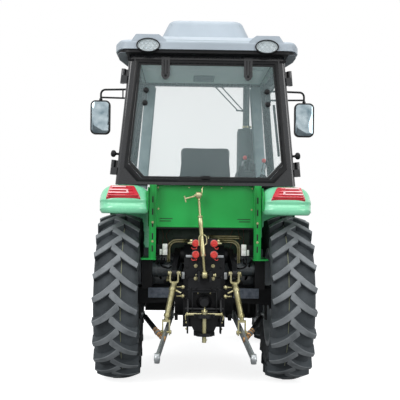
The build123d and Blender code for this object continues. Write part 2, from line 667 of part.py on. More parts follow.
def door_frame():
    outer, inner = PILLAR + MOVING_GAP, PILLAR + MOVING_GAP + DOOR_RIM
    leaf = cab_sheet(cab_side_face(outer) - cab_side_face(inner), 0, DOOR_THICK)
    for v in (DOOR_HINGE_LOW, DOOR_HINGE_HIGH):
        leaf += hinge_leaf(v)
    grip_y = front_y(CAB_REF_Z - 300) - PILLAR - MOVING_GAP - DOOR_RIM / 2
    handle = cab_plane() * (Pos(grip_y, -300, 22) * Box(26, 130, 16))
    stud = cab_plane() * (Pos(grip_y, -300, 7) * Box(22, 40, 16))
    return leaf + handle + stud


# Door hinges stand outboard of the rear pillars. Heights are along the leaning pillar.
DOOR_HINGE_LOW = 115.0
DOOR_HINGE_HIGH = 796.0
DOOR_HINGE_OUT = 34.0
DOOR_HINGE_PIN_R = 8.0
DOOR_HINGE_BOSS_R = 17.0
HINGE_H = 54.0
HINGE_Y = CAB_REAR_Y + PILLAR + MOVING_GAP / 2


def hinge_leaf(v):
    """The moving half: a boss above the fixed knuckle and a strap onto the door's rim."""
    half = HINGE_H / 2
    boss = Pos(HINGE_Y, v + half + 1, DOOR_HINGE_OUT) * (Rot(X=-90) * Cylinder(DOOR_HINGE_BOSS_R, HINGE_H))
    strap = Pos(HINGE_Y + 38, v + half + 1, DOOR_HINGE_OUT / 2 + 2) * Box(56, HINGE_H, DOOR_HINGE_OUT + 8)
    hole = Pos(HINGE_Y, v + half + 1, DOOR_HINGE_OUT) * (Rot(X=-90) * Cylinder(DOOR_HINGE_PIN_R + RUNNING_GAP, HINGE_H + 4))
    return cab_plane() * (boss + strap - hole)


def hinge_knuckle(v):
    """The fixed half on the pillar, with the pin that the door's boss turns on."""
    half = HINGE_H / 2
    boss = Pos(HINGE_Y, v - half - 1, DOOR_HINGE_OUT) * (Rot(X=-90) * Cylinder(DOOR_HINGE_BOSS_R, HINGE_H))
    strap = Pos(HINGE_Y - 34, v - half - 1, DOOR_HINGE_OUT / 2 + 2) * Box(50, HINGE_H, DOOR_HINGE_OUT + 8)
    pin = Pos(HINGE_Y, v + half - 8, DOOR_HINGE_OUT) * (Rot(X=-90) * Cylinder(DOOR_HINGE_PIN_R, HINGE_H + 16))
    return cab_plane() * (boss + strap + pin)


def door_glass():
    edge = PILLAR + MOVING_GAP + DOOR_RIM + SEAT_GAP
    return cab_sheet(cab_side_face(edge), 12, GLASS_THICK)


def cab_floor():
    wall_in, wall_out = FENDER_IN_X - SHEET - SEAT_GAP, FENDER_IN_X - SEAT_GAP
    rear = CAB_REAR_Y + 64 + SEAT_GAP
    deck = block((-wall_out, wall_out), (rear, 360), (DECK_Z - SHEET, DECK_Z))
    riser = block((-wall_out, wall_out), (360 - SHEET, 360), (FLOOR_Z, DECK_Z))
    floor = block((-wall_out, wall_out), (360 - SHEET, 1125), (FLOOR_Z - SHEET, FLOOR_Z))
    wing = block((wall_in, 640), (780, 1125), (FLOOR_Z - SHEET, FLOOR_Z))
    pad = block((100, 160), (1040, 1110), (BELL_TOP_Z + SEAT_GAP, FLOOR_Z - SHEET + 1))
    wall = side_prism(outline([(rear, DECK_Z - SHEET), (348, DECK_Z - SHEET), (348, FLOOR_Z - SHEET), (785, FLOOR_Z - SHEET), (785, 1000), (405, 1460), (rear, 1460)]), (wall_in, wall_out))
    side = wing + wall
    return deck + riser + floor + side + left_of(side) + pad + left_of(pad)


def rear_panel():
    """The painted plate under the rear window, and the two channels that carry the cab."""
    plate = block((-410, 410), (CAB_REAR_Y + 52, CAB_REAR_Y + 64), (DECK_Z, CAB_BASE_Z - SEAT_GAP))
    post = block((BEAM_X, BEAM_X + 50), (CAB_REAR_Y - 5, CAB_REAR_Y + 52), (CAB_STAND_Z + SEAT_GAP, CAB_BASE_Z - SEAT_GAP))
    foot = block((BEAM_X, 468), (CAB_REAR_Y - 5, 30), (CAB_STAND_Z + SEAT_GAP, CAB_STAND_Z + 12))
    return plate + post + foot + left_of(post + foot)


# Roof and lamps
def roof_outline(inset):
    """Round ears at the four corners, and a waist over the doors."""
    rear, front, wide = ROOF_REAR_Y + inset, ROOF_FRONT_Y - inset, ROOF_HALF_W - inset
    waist, middle = wide - ROOF_WAIST, (ROOF_REAR_Y + ROOF_FRONT_Y) / 2
    side = [(wide - 42, rear), (wide, rear + 150), (wide, rear + 330), (waist, middle - 100)]
    side += [(waist, middle + 200), (wide - 8, front - 250), (wide - 70, front)]
    face = make_face(Polyline(*side, *[(-x, y) for x, y in reversed(side)], close=True))
    return fillet(face.vertices(), 75)


def roof_pan():
    pan = plan_prism(roof_outline(14), (CAB_TOP_Z + SEAT_GAP, CAB_TOP_Z + ROOF_PAN_H))
    return pan - lamp_pockets()


def lamp_housing():
    """The raised brow over a work lamp, in the roof's rear edge."""
    base, top = CAB_TOP_Z + ROOF_PAN_H + 8, LAMP_Z + LAMP_HALF_H + 29
    x = LAMP_X + 5
    brow = [(x - 132, base), (x - 132, base + 60), (x - 82, top), (x + 84, top), (x + 118, top - 50), (x + 168, base)]
    return rear_prism(outline(brow, 12), (ROOF_REAR_Y + 2, ROOF_REAR_Y + 330))


def roof_shell():
    base = CAB_TOP_Z + ROOF_PAN_H
    rim_z = base + ROOF_SHELL_H
    rim = plan_prism(roof_outline(0), (base, rim_z))
    rim = fillet(rim.edges().group_by(Axis.Z)[-1], 24)
    low = Pos(0, 300, rim_z - 24) * RectangleRounded(1180, 1420, 170)
    high = Pos(0, 330, rim_z + DOME_H) * RectangleRounded(960, 1090, 200)
    dome = loft([low, high])
    dome = fillet(dome.edges().group_by(Axis.Z)[-1], min(40, DOME_H / 3))
    middle = HUMP_REAR_Y + HUMP_LENGTH / 2
    foot = Pos(0, middle, rim_z + DOME_H - 30) * RectangleRounded(HUMP_W, HUMP_LENGTH, 130)
    crest = Pos(0, middle, HUMP_TOP_Z) * RectangleRounded(HUMP_W - 225, HUMP_LENGTH - 130, 90)
    hump = loft([foot, crest])
    rise = HUMP_TOP_Z - rim_z - DOME_H
    hump = fillet(hump.edges().group_by(Axis.Z)[-1], min(45, rise / 4))
    brow = lamp_housing()
    return rim + dome + hump + brow + left_of(brow) - lamp_pockets()


def lamp_form(margin, front_y_value):
    face = Pos(LAMP_X, LAMP_Z) * Ellipse(LAMP_HALF_W + margin, LAMP_HALF_H + margin)
    return rear_prism(face, (ROOF_REAR_Y - 14, front_y_value))


def lamp_pockets():
    pocket = lamp_form(SEAT_GAP, ROOF_REAR_Y + 30)
    return pocket + left_of(pocket)


def work_lamps():
    return pair(lamp_form(0, ROOF_REAR_Y + 30 - SEAT_GAP))


# Fenders
def fender_profile(inset):
    """The side view: a steep back, a flat top and a slope down in front of the wheel."""
    top, rear, front = FENDER_TOP_Z - inset, FENDER_REAR_Y + inset, 765 - inset
    points = [(rear, 500), (rear, top - 98), (rear + 95, top - 8), (rear + 155, top)]
    return points + [(385 - inset / 2, top), (front, 990 - inset / 2), (front, 500)]


def fender_form(inset):
    """The fender as a full body, drawn in by a margin, with its upper edges rounded."""
    body = side_prism(outline(fender_profile(inset)), (FENDER_IN_X + inset, FENDER_OUT_X - inset))
    crown = body.edges().filter_by(lambda e: e.center().Z > 900)
    outer = crown.filter_by(lambda e: abs(e.center().X - FENDER_OUT_X + inset) < 1)
    return fillet(outer, FENDER_ROUND - inset)


def fenders():
    wall = FENDER_WALL
    reach = side_prism(outline(fender_profile(82)), (FENDER_OUT_X - FENDER_ROUND - 1, FENDER_OUT_X + 1))
    below = [(FENDER_REAR_Y - 40, 400), (FENDER_REAR_Y - 40, FENDER_LIP_Z), (CAB_REAR_Y + 5, FENDER_LIP_Z)]
    below += [(CAB_REAR_Y + 40, DECK_Z), (360, DECK_Z), (360, FLOOR_Z), (560, 860), (800, 860), (800, 400)]
    cutter = side_prism(outline(below), (FENDER_IN_X - 5, FENDER_OUT_X + 5))
    skin = fender_form(0) - fender_form(wall) - reach - cutter
    lip_y, lip_z, end = FENDER_REAR_Y + 17, FENDER_LIP_Z + FENDER_LIP_R, FENDER_OUT_X - FENDER_ROUND
    lip = rod((FENDER_IN_X + 24, lip_y, lip_z), (end, lip_y, lip_z), FENDER_LIP_R)
    lip += Pos(FENDER_IN_X + 24, lip_y, lip_z) * Sphere(FENDER_LIP_R) + Pos(end, lip_y, lip_z) * Sphere(FENDER_LIP_R)
    return pair(skin + lip)


def tail_lamps():
    slope = atan2(90, 95)
    low, top = FENDER_REAR_Y, FENDER_TOP_Z - 98
    plane = Plane(origin=(0, low, top), x_dir=(1, 0, 0), z_dir=(0, -sin(slope), cos(slope)))
    lens = extrude(plane.offset(SEAT_GAP) * outline([(478, 8), (706, 8), (690, 112), (522, 112)], 6), amount=20)
    for rise in (30, 62, 92):
        lens += extrude(plane.offset(SEAT_GAP + 19) * (Pos(600, rise) * Rectangle(168 - rise / 3, 13)), amount=7)
    return pair(lens)


def mirrors():
    y, head_x, head_z = front_y(2340) - 28, 912.0, 2120.0
    root, ahead, arm_z, low_z = cab_half_width(2345), y + 46, 2371.0, 2302.0
    clamp = cab_plane() * (Pos(y, (2336 - CAB_REF_Z), SEAT_GAP + 10) * Box(34, 130, 20))
    bar = pipe([(root + 12, y, arm_z), (root + 70, y, arm_z), (head_x, ahead, arm_z), (head_x, ahead, head_z + 140)], 40, 9)
    lower = rod((root + 12, y, low_z - 12), (head_x, ahead, low_z), 8)
    strut_x = root + 133
    strut = rod((strut_x, y + 11, arm_z), (strut_x, y + 17, low_z - 8), 6)
    head = rear_prism(Pos(head_x, head_z) * RectangleRounded(178, 305, 45), (ahead - 28, ahead + 22))
    head = fillet(head.edges().group_by(Axis.Y)[-1], 20)
    return pair(bar + lower + strut + clamp + head)


# Inside the cab
def seat():
    pedestal = block((-150, 150), (-20, 300), (DECK_Z, 1290))
    cushion = fillet(block((-215, 215), (-80, 370), (1290, 1400)).edges(), 30)
    back = Pos(0, -135, 1570) * (Rot(X=10) * Box(400, 90, 430))
    return pedestal + cushion + fillet(back.edges(), 30)


COLUMN_Y = 700.0
COLUMN_Z = 1560.0
COLUMN_LEAN = 32.0
STEER_PIN_R = 12.0


def steering_column():
    lean = radians(COLUMN_LEAN)
    top = (0, COLUMN_Y, COLUMN_Z)
    base = (0, COLUMN_Y + 420 * sin(lean), COLUMN_Z - 420 * cos(lean))
    tube = rod(base, top, 32) + rod(mid(top, base, -0.09), top, STEER_PIN_R)
    dash = side_prism(outline([(860, FLOOR_Z), (1060, FLOOR_Z), (1030, 1370), (960, 1450), (860, 1400), (840, 1200)]), (-210, 210))
    return tube + dash


def steering_wheel():
    lean = radians(COLUMN_LEAN)
    plane = Plane(origin=(0, COLUMN_Y, COLUMN_Z), x_dir=(1, 0, 0), z_dir=(0, -sin(lean), cos(lean)))
    wheel = Torus(185, 14) + Cylinder(35, 30)
    for turn in (90, 210, 330):
        wheel += Rot(Z=turn) * (Pos(105, 0, 0) * Box(160, 24, 10))
    wheel = Pos(0, 0, MOVING_GAP + 15) * wheel
    return plane * (wheel - Cylinder(STEER_PIN_R + RUNNING_GAP, 200))


def side_console():
    body = block((250, 400), (-60, 420), (DECK_Z, 1520))
    for y in (80, 180, 280):
        body += rod((330, y, 1520), (345, y - 20, 1680), 6)
        body += Pos(345, y - 20, 1690) * Sphere(17)
    return body


# Hydraulic lift and three-point linkage
def lift_housing():
    body = side_prism(outline([(CASE_REAR_Y, CASE_TOP_Z), (260, CASE_TOP_Z), (260, 960), (40, 1030), (-160, 1030), (CASE_REAR_Y, 940)]), (-150, 150))
    body += rod((-175, LIFT_Y, LIFT_Z), (175, LIFT_Y, LIFT_Z), 60)
    body += block((-45, 45), (-345, -250), (900, 1090))
    return body - rod((-180, LIFT_Y, LIFT_Z), (180, LIFT_Y, LIFT_Z), LIFT_SHAFT_R + RUNNING_GAP)


def arm_end():
    drop = radians(LIFT_ARM_DROP)
    return LIFT_Y - LIFT_ARM * cos(drop), LIFT_Z - LIFT_ARM * sin(drop)


LIFT_ARM_X = 200.0
LIFT_TIP_X = 222.0
LIFT_ARM_W = 36.0


def lift_arms():
    y, z = arm_end()
    half = LIFT_ARM_W / 2
    body = rod((-LIFT_ARM_X - 15, LIFT_Y, LIFT_Z), (LIFT_ARM_X + 15, LIFT_Y, LIFT_Z), LIFT_SHAFT_R)
    web = outline([(LIFT_Y + 20, LIFT_Z - 44), (LIFT_Y - 20, LIFT_Z + 50), (y + 90, z + 78), (y, z + 24), (y, z - 24)])
    bend = [(LIFT_ARM_X - half, LIFT_Y + 60), (LIFT_ARM_X - half, LIFT_Y - 60), (LIFT_TIP_X - half, y + 60)]
    bend += [(LIFT_TIP_X - half, y - 40), (LIFT_TIP_X + half, y - 40), (LIFT_TIP_X + half, y + 60)]
    bend += [(LIFT_ARM_X + half, LIFT_Y - 60), (LIFT_ARM_X + half, LIFT_Y + 60)]
    arm = side_prism(web, (0, 300)) & plan_prism(outline(bend), (LIFT_Z - 300, LIFT_Z + 200))
    arm += rod((LIFT_ARM_X - half, LIFT_Y, LIFT_Z), (LIFT_ARM_X + half, LIFT_Y, LIFT_Z), 52)
    arm += rod((LIFT_TIP_X - half, y, z), (LIFT_TIP_X + half, y, z), 28)
    arm -= rod((LIFT_TIP_X - 40, y, z), (LIFT_TIP_X + 40, y, z), LINK_PIN_R + RUNNING_GAP)
    return body + arm + left_of(arm)


def link_point(share):
    """A point on the lower link's centre line, by distance from its front pin."""
    drop = radians(LINK_DROP)
    y = LINK_Y - share * LINK_LENGTH * cos(drop)
    z = LINK_Z - share * LINK_LENGTH * sin(drop)
    return LINK_FRONT_X + share * (LINK_BALL_X - LINK_FRONT_X), y, z


def shackle(x, y, z, half_in, depth, bar):
    """A U of flat bar that hangs from a pin through its two ears."""
    inner = [(x - half_in, z + 17), (x - half_in, z - depth), (x + half_in, z - depth), (x + half_in, z + 17)]
    reach, floor = half_in + bar, depth + bar + 4
    outer = [(x - reach, z + 16), (x - reach, z - floor), (x + reach, z - floor), (x + reach, z + 16)]
    outer_face = make_face(Polyline(*outer, close=True))
    outer_face = fillet(outer_face.vertices().group_by(Axis.Y)[0], 20)
    inner_face = make_face(Polyline(*inner, close=True))
    inner_face = fillet(inner_face.vertices().group_by(Axis.Y)[0], 10)
    return rear_prism(outer_face - inner_face, (y - 17, y + 17))


def lift_rod():
    y, z = arm_end()
    pin_x, pin_y, pin_z = link_point(LINK_PIN_ARM / LINK_LENGTH)
    half_in = LIFT_ARM_W / 2 + MOVING_GAP
    fork = shackle(LIFT_TIP_X, y, z, half_in, 60, 10)
    pin = rod((LIFT_TIP_X - half_in - 14, y, z), (LIFT_TIP_X + half_in + 14, y, z), LINK_PIN_R)
    low_z = pin_z + 90
    top, base = (LIFT_TIP_X, y, z - 66), (pin_x, pin_y, low_z)
    bar = rod(top, base, 14) + rod(mid(top, base, 0.2), mid(top, base, 0.86), 19)
    for share in (0.14, 0.86):
        bar += rod(mid(top, base, share), mid(top, base, share + 0.06), 24)
    yoke = block((pin_x - 30, pin_x + 30), (pin_y - 18, pin_y + 18), (low_z - 16, low_z))
    for x in (pin_x - 30, pin_x + 20):
        yoke += block((x, x + 10), (pin_y - 18, pin_y + 18), (pin_z - 22, low_z))
    return fork + pin + bar + yoke


def mid(start, end, share):
    return tuple(a + share * (b - a) for a, b in zip(start, end))


def lower_link():
    drop = radians(LINK_DROP)
    splay = atan2(LINK_BALL_X - LINK_FRONT_X, LINK_LENGTH)
    ahead = Vector(sin(splay), -cos(splay) * cos(drop), -cos(splay) * sin(drop))
    plane = Plane(origin=link_point(0), x_dir=(cos(splay), sin(splay) * cos(drop), 0), z_dir=ahead)
    length = LINK_LENGTH / cos(splay)
    body = plane * (Pos(0, 0, length / 2) * Box(16, 62, length - 40))
    x0, y0, z0 = link_point(0)
    x1, y1, z1 = link_point(1)
    body += rod((x1 - BALL_WIDTH / 2, y1, z1), (x1 + BALL_WIDTH / 2, y1, z1), BALL_EYE_R)
    body += rod((x0 - 14, y0, z0), (x0 + 14, y0, z0), 32)
    body += rod((LINK_LUG_X, y0, z0), (x0, y0, z0), LINK_PIN_R)
    body -= rod((x1 - 40, y1, z1), (x1 + 40, y1, z1), BALL_BORE_R)
    stay_end = link_point(STAY_SHARE)
    eye_x = STAY_X - MOVING_GAP - 12
    hinge = (eye_x, y0, z0)
    body += rod(hinge, stay_end, 11) + rod(mid(hinge, stay_end, 0.22), mid(hinge, stay_end, 0.66), 17)
    body += rod(mid(hinge, stay_end, 0.7), mid(hinge, stay_end, 0.75), 21)
    body += rod((eye_x - 12, y0, z0), (eye_x + 12, y0, z0), 22)
    return body - rod((eye_x - 50, y0, z0), (eye_x + 13, y0, z0), STAY_PIN_R + RUNNING_GAP)


def top_link_axis():
    lean, side = radians(TOP_LINK_LEAN), radians(TOP_LINK_SIDE)
    return Vector(-sin(side), sin(lean) * cos(side), cos(lean) * cos(side))


def top_link():
    along = top_link_axis()
    base = Vector(0, TOP_LINK_Y, TOP_LINK_Z)
    tip = base + along * TOP_LINK_LENGTH
    body = rod((-22, TOP_LINK_Y, TOP_LINK_Z), (22, TOP_LINK_Y, TOP_LINK_Z), 26)
    body += rod(tuple(base + along * 15), tuple(tip - along * 10), 10)
    body += rod(tuple(base + along * 130), tuple(tip - along * 130), 14)
    body += rod((tip.X - 22, tip.Y, tip.Z), (tip.X + 22, tip.Y, tip.Z), 26)
    body -= rod((-30, TOP_LINK_Y, TOP_LINK_Z), (30, TOP_LINK_Y, TOP_LINK_Z), TOP_LINK_PIN_R + RUNNING_GAP)
    return body - rod((tip.X - 30, tip.Y, tip.Z), (tip.X + 30, tip.Y, tip.Z), TOP_LINK_BORE_R)


def trailer_hitch():
    """Two side plates, and a jaw with rounded lips around its upright pin."""
    y0 = CASE_REAR_Y - 35 - SEAT_GAP
    side = [(y0 - 120, 430), (y0 - 90, 396), (y0, 396), (y0, 640), (y0 - 40, 640), (y0 - 120, 560)]
    plate = side_prism(outline(side, 8), (HITCH_PLATE_X - 6, HITCH_PLATE_X + 6))
    pin_y = y0 - 150
    lip = Pos(0, pin_y) * Circle(62) + Pos(0, pin_y + 55) * Rectangle(150, 110)
    jaw = plan_prism(lip, (520, 545)) + plan_prism(lip, (390, 412))
    back = outline([(-100, 560), (-100, 470), (-62, 390), (62, 390), (100, 470), (100, 560)], 10)
    jaw += rear_prism(back, (y0 - 80, y0 - 58))
    jaw += block((-HITCH_PLATE_X, HITCH_PLATE_X), (y0 - 80, y0 - 58), (505, 545))
    tie = rod((-HITCH_PLATE_X - 22, y0 - 70, 572), (HITCH_PLATE_X + 22, y0 - 70, 572), 11)
    pin = rod((0, pin_y, 345), (0, pin_y, 560), 15) + rod((0, pin_y, 560), (0, pin_y, 574), 22)
    return plate + left_of(plate) + jaw + tie + pin


def pto_shaft():
    y0 = CASE_REAR_Y - 35
    return rod((0, y0 + 5, 620), (0, y0 - 78, 620), 30)


def remote_valves():
    return block((-90, 90), (-375, -340), (930, 1085))


def couplers():
    caps = []
    for x in (-67, 67):
        for z in (968, 1050):
            caps += rod((x, -375 - SEAT_GAP, z), (x, -420, z), 26).solids()
    return Compound(caps)


def hydraulic_pipes():
    runs = []
    for z, near, x in ((1066, 142, PIPE_X), (1050, 116, PIPE_X + 26)):
        points = [(90 + SEAT_GAP, -360, z), (near, -360, z), (near, PIPE_END_Y, z), (x, PIPE_END_Y, z)]
        runs += pipe([*points, (x, PIPE_END_Y, PIPE_END_Z + SEAT_GAP)], 18, 6).solids()
    return pair(Compound(runs))


def build_nodes():
    rear_rubber, rear_metal = rear_wheel()
    front_rubber, front_metal = front_wheel()
    nodes = {
        "rear_tyre_right": rear_rubber,
        "rear_rim_right": rear_metal,
        "front_tyre_right": front_rubber,
        "front_rim_right": front_metal,
        "knuckle_right": knuckle(),
        "door_frame_right": door_frame(),
        "door_glass_right": door_glass(),
        "lower_link_right": lower_link(),
        "lift_rod_right": lift_rod(),
    }
    for name in list(nodes):
        nodes[name.replace("right", "left")] = left_of(nodes[name])
    knuckles = [hinge_knuckle(v) for v in (DOOR_HINGE_LOW, DOOR_HINGE_HIGH)]
    frame = cab_frame()
    for knuckle_piece in knuckles:
        frame += knuckle_piece
        frame += left_of(knuckle_piece)
    frame += rear_window_strap() + left_of(rear_window_strap())
    axle = rear_axle_housing()
    nodes |= {
        "rear_axle_housings": pair(axle),
        "transmission_case": transmission_case() + pto_shaft(),
        "engine_block": engine_block(),
        "radiator": radiator(),
        "front_frame": front_frame(),
        "front_axle_beam": front_axle_beam() + driveshaft_tube(),
        "tie_rod": tie_rod(),
        "front_weights": front_weights(),
        "hood_shell": hood_shell(),
        "hood_bulkhead": hood_bulkhead(),
        "front_grille": front_grille(),
        "headlamps": headlamps(),
        "exhaust_stack": exhaust_stack(),
        "fuel_tank": fuel_tank(),
        "battery_box": battery_box(),
        "steps": steps(),
        "cab_frame": frame,
        "cab_floor": cab_floor(),
        "firewall": firewall(),
        "windscreen": windscreen(),
        "rear_window": rear_window(),
        "rear_panel": rear_panel(),
        "roof_pan": roof_pan(),
        "roof_shell": roof_shell(),
        "work_lamps": work_lamps(),
        "fenders": fenders(),
        "tail_lamps": tail_lamps(),
        "mirrors": mirrors(),
        "seat": seat(),
        "steering_column": steering_column(),
        "steering_wheel": steering_wheel(),
        "side_console": side_console(),
        "lift_housing": lift_housing() + remote_valves(),
        "lift_arms": lift_arms(),
        "top_link": top_link(),
        "trailer_hitch": trailer_hitch(),
        "couplers": couplers(),
        "hydraulic_pipes": hydraulic_pipes(),
    }
    return nodes


os.makedirs("parts", exist_ok=True)
for name, shape in build_nodes().items():
    export_step(Pos(0, REAR_AXLE_Y, 0) * shape, f"parts/{name}.step")
print("rear axle at y", round(REAR_AXLE_Y, 2), "rear reach", round(REAR_REACH, 2))
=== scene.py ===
import json
from math import atan2, cos, pi, radians, sin, tan

import bmesh
import bpy
from mathutils import Matrix, Vector
from mathutils.bvhtree import BVHTree


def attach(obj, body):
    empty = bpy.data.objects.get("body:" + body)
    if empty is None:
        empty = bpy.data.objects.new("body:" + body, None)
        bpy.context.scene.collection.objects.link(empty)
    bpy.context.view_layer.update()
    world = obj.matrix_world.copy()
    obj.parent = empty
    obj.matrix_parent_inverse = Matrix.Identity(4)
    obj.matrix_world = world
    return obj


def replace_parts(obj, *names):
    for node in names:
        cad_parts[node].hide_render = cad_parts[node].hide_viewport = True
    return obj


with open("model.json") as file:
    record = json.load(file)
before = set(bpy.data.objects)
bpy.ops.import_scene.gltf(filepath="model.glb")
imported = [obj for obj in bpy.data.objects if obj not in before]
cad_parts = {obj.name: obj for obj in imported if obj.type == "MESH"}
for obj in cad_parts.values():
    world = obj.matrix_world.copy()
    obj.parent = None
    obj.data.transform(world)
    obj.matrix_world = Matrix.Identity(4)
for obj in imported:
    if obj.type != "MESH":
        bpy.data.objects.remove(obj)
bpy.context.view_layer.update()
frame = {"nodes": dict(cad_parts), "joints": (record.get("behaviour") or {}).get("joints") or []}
JOINTS = {joint["name"]: joint for joint in frame["joints"]}
NODES = frame["nodes"]

# Sizes are millimetres, measured from the ground point under the rear axle, as in the part's source.
# +X is the tractor's right side, +Y is forward, +Z is up.
REAR_AXLE_Y = JOINTS["rear_wheel_left_spin"]["pos_m"][1]


def metres(x, y, z):
    return Vector((x / 1000, y / 1000 + REAR_AXLE_Y, z / 1000))


def millimetres(point):
    return [1000 * point[0], 1000 * (point[1] - REAR_AXLE_Y), 1000 * point[2]]


# Colours and materials


def srgb(red, green, blue):
    """A colour read in 0 to 255 steps, as Blender's linear values."""
    linear = []
    for value in (red, green, blue):
        share = value / 255
        linear.append(share / 12.92 if share <= 0.04045 else ((share + 0.055) / 1.055) ** 2.4)
    return (*linear, 1.0)


def new_material(name):
    material = bpy.data.materials.new(name)
    material.use_nodes = True
    nodes = material.node_tree.nodes
    nodes.clear()
    shader = nodes.new("ShaderNodeBsdfPrincipled")
    output = nodes.new("ShaderNodeOutputMaterial")
    material.node_tree.links.new(shader.outputs["BSDF"], output.inputs["Surface"])
    return material, shader


def noise(material, scale, detail=4.0, stretch=(1, 1, 1)):
    """A noise field fixed to the object's own coordinates, in waves per metre."""
    tree = material.node_tree
    place = tree.nodes.new("ShaderNodeTexCoord")
    mapping = tree.nodes.new("ShaderNodeMapping")
    mapping.inputs["Scale"].default_value = stretch
    field = tree.nodes.new("ShaderNodeTexNoise")
    field.inputs["Scale"].default_value = scale
    field.inputs["Detail"].default_value = detail
    tree.links.new(place.outputs["Object"], mapping.inputs["Vector"])
    tree.links.new(mapping.outputs["Vector"], field.inputs["Vector"])
    return field.outputs["Fac"]


def ramp(material, source, stops):
    node = material.node_tree.nodes.new("ShaderNodeValToRGB")
    marks = node.color_ramp.elements
    while len(marks) < len(stops):
        marks.new(0.5)
    for mark, (position, colour) in zip(marks, stops):
        mark.position = position
        mark.color = colour
    material.node_tree.links.new(source, node.inputs["Fac"])
    return node.outputs["Color"]


def spread(material, source, low, high):
    node = material.node_tree.nodes.new("ShaderNodeMapRange")
    node.inputs["From Min"].default_value = 0.3
    node.inputs["From Max"].default_value = 0.7
    node.inputs["To Min"].default_value = low
    node.inputs["To Max"].default_value = high
    material.node_tree.links.new(source, node.inputs["Value"])
    return node.outputs["Result"]


def bump(material, source, depth, strength=1.0, before=None):
    node = material.node_tree.nodes.new("ShaderNodeBump")
    node.inputs["Distance"].default_value = depth
    node.inputs["Strength"].default_value = strength
    material.node_tree.links.new(source, node.inputs["Height"])
    if before is not None:
        material.node_tree.links.new(before, node.inputs["Normal"])
    return node.outputs["Normal"]


def finish_of(name, dark, light, rough, grain=(400, 0.0002), patch=3.0, metallic=0.0, **sockets):
    """A surface whose colour drifts between two shades and whose roughness and grain vary.

    Shades of three numbers are read in 0 to 255 steps; shades of four are linear already.
    """
    dark, light = (shade if len(shade) == 4 else srgb(*shade) for shade in (dark, light))
    material, shader = new_material(name)
    link = material.node_tree.links.new
    drift = noise(material, patch, 6)
    fine = noise(material, grain[0], 5)
    link(ramp(material, drift, [(0.3, dark), (0.7, light)]), shader.inputs["Base Color"])
    link(spread(material, noise(material, patch * 9, 5), *rough), shader.inputs["Roughness"])
    link(bump(material, fine, grain[1], 0.6), shader.inputs["Normal"])
    shader.inputs["Metallic"].default_value = metallic
    for socket, value in sockets.items():
        shader.inputs[socket.replace("_", " ")].default_value = value
    return material


def glass_of(name, colour, rough, **sockets):
    material, shader = new_material(name)
    link = material.node_tree.links.new
    smear = noise(material, 6, 5)
    link(ramp(material, smear, [(0.3, colour), (0.75, tuple(min(1, c * 1.06) for c in colour))]),
         shader.inputs["Base Color"])
    link(spread(material, smear, *rough), shader.inputs["Roughness"])
    shader.inputs["Transmission Weight"].default_value = 1.0
    shader.inputs["IOR"].default_value = 1.45
    for socket, value in sockets.items():
        shader.inputs[socket.replace("_", " ")].default_value = value
    return material


GREEN = finish_of("green_paint", (22, 156, 66), (36, 178, 82), (0.28, 0.4), (900, 0.00008),
                  Specular_IOR_Level=0.3, Coat_Weight=0.3, Coat_Roughness=0.1)
# Fender paint: the green paint lightened to mint, a painted highlight of the bright light from above on the
# fenders.
FENDER_LIT_GREEN = finish_of("fender_green_painted_highlight", (116, 218, 162), (144, 234, 188), (0.24, 0.36), (900, 0.00008),
                   Coat_Weight=0.8, Coat_Roughness=0.12)
BLACK = finish_of("black_paint", (8, 9, 11), (17, 19, 22), (0.3, 0.46), (700, 0.0001),
                  Specular_IOR_Level=0.3, Coat_Weight=0.15, Coat_Roughness=0.15)
CAST = finish_of("black_casting", (8, 9, 12), (21, 23, 27), (0.42, 0.62), (260, 0.0009),
                 Specular_IOR_Level=0.3, Coat_Weight=0.12, Coat_Roughness=0.3)
ZINC = finish_of("yellow_zinc", (176, 168, 118), (214, 208, 168), (0.26, 0.44), (800, 0.00008), 22, 0.75)
STEEL = finish_of("plain_steel", (98, 104, 106), (142, 148, 150), (0.36, 0.52), (500, 0.0002), 14, 0.8)
SILVER = finish_of("silver_paint", (170, 176, 180), (198, 204, 208), (0.35, 0.48), (700, 0.0001), 6, 0.35)
ROOF = finish_of("roof_plastic", (168, 179, 188), (184, 195, 204), (0.42, 0.55), (1200, 0.00008))
UNDERSIDE = finish_of("roof_underside_plastic", (112, 120, 126), (132, 140, 146), (0.45, 0.6), (1200, 0.0001))
PLASTIC = finish_of("black_plastic", (10, 11, 13), (20, 22, 25), (0.42, 0.6), (1500, 0.0002),
                    Specular_IOR_Level=0.3)
RUBBER = finish_of("tyre_rubber", (54, 59, 62), (84, 90, 94), (0.6, 0.8), (350, 0.0006), 5,
                   Specular_IOR_Level=0.3)
RED = finish_of("red_lens", (200, 34, 50), (222, 58, 72), (0.1, 0.2), (300, 0.0003), 8, Coat_Weight=0.8)
RED_CAP = finish_of("red_cap", (214, 58, 52), (234, 84, 76), (0.4, 0.55), (900, 0.0001), 30)
LENS = finish_of("lamp_lens", (214, 220, 224), (238, 242, 244), (0.1, 0.18), (300, 0.0004), 10,
                 Coat_Weight=0.8)
LINER = finish_of("cab_liner", (222, 236, 238), (236, 246, 247), (0.7, 0.85), (900, 0.0004), 9)
SEAT = finish_of("seat_cover", (16, 19, 21), (40, 46, 49), (0.2, 0.42), (260, 0.0012), 12,
                 Coat_Weight=0.55, Coat_Roughness=0.12)
GLASS = finish_of("cab_glass", (0.58, 0.78, 0.80, 1), (0.70, 0.88, 0.90, 1), (0.02, 0.05), (30, 0.00002), 2,
                  Alpha=0.1, Specular_IOR_Level=1.0)
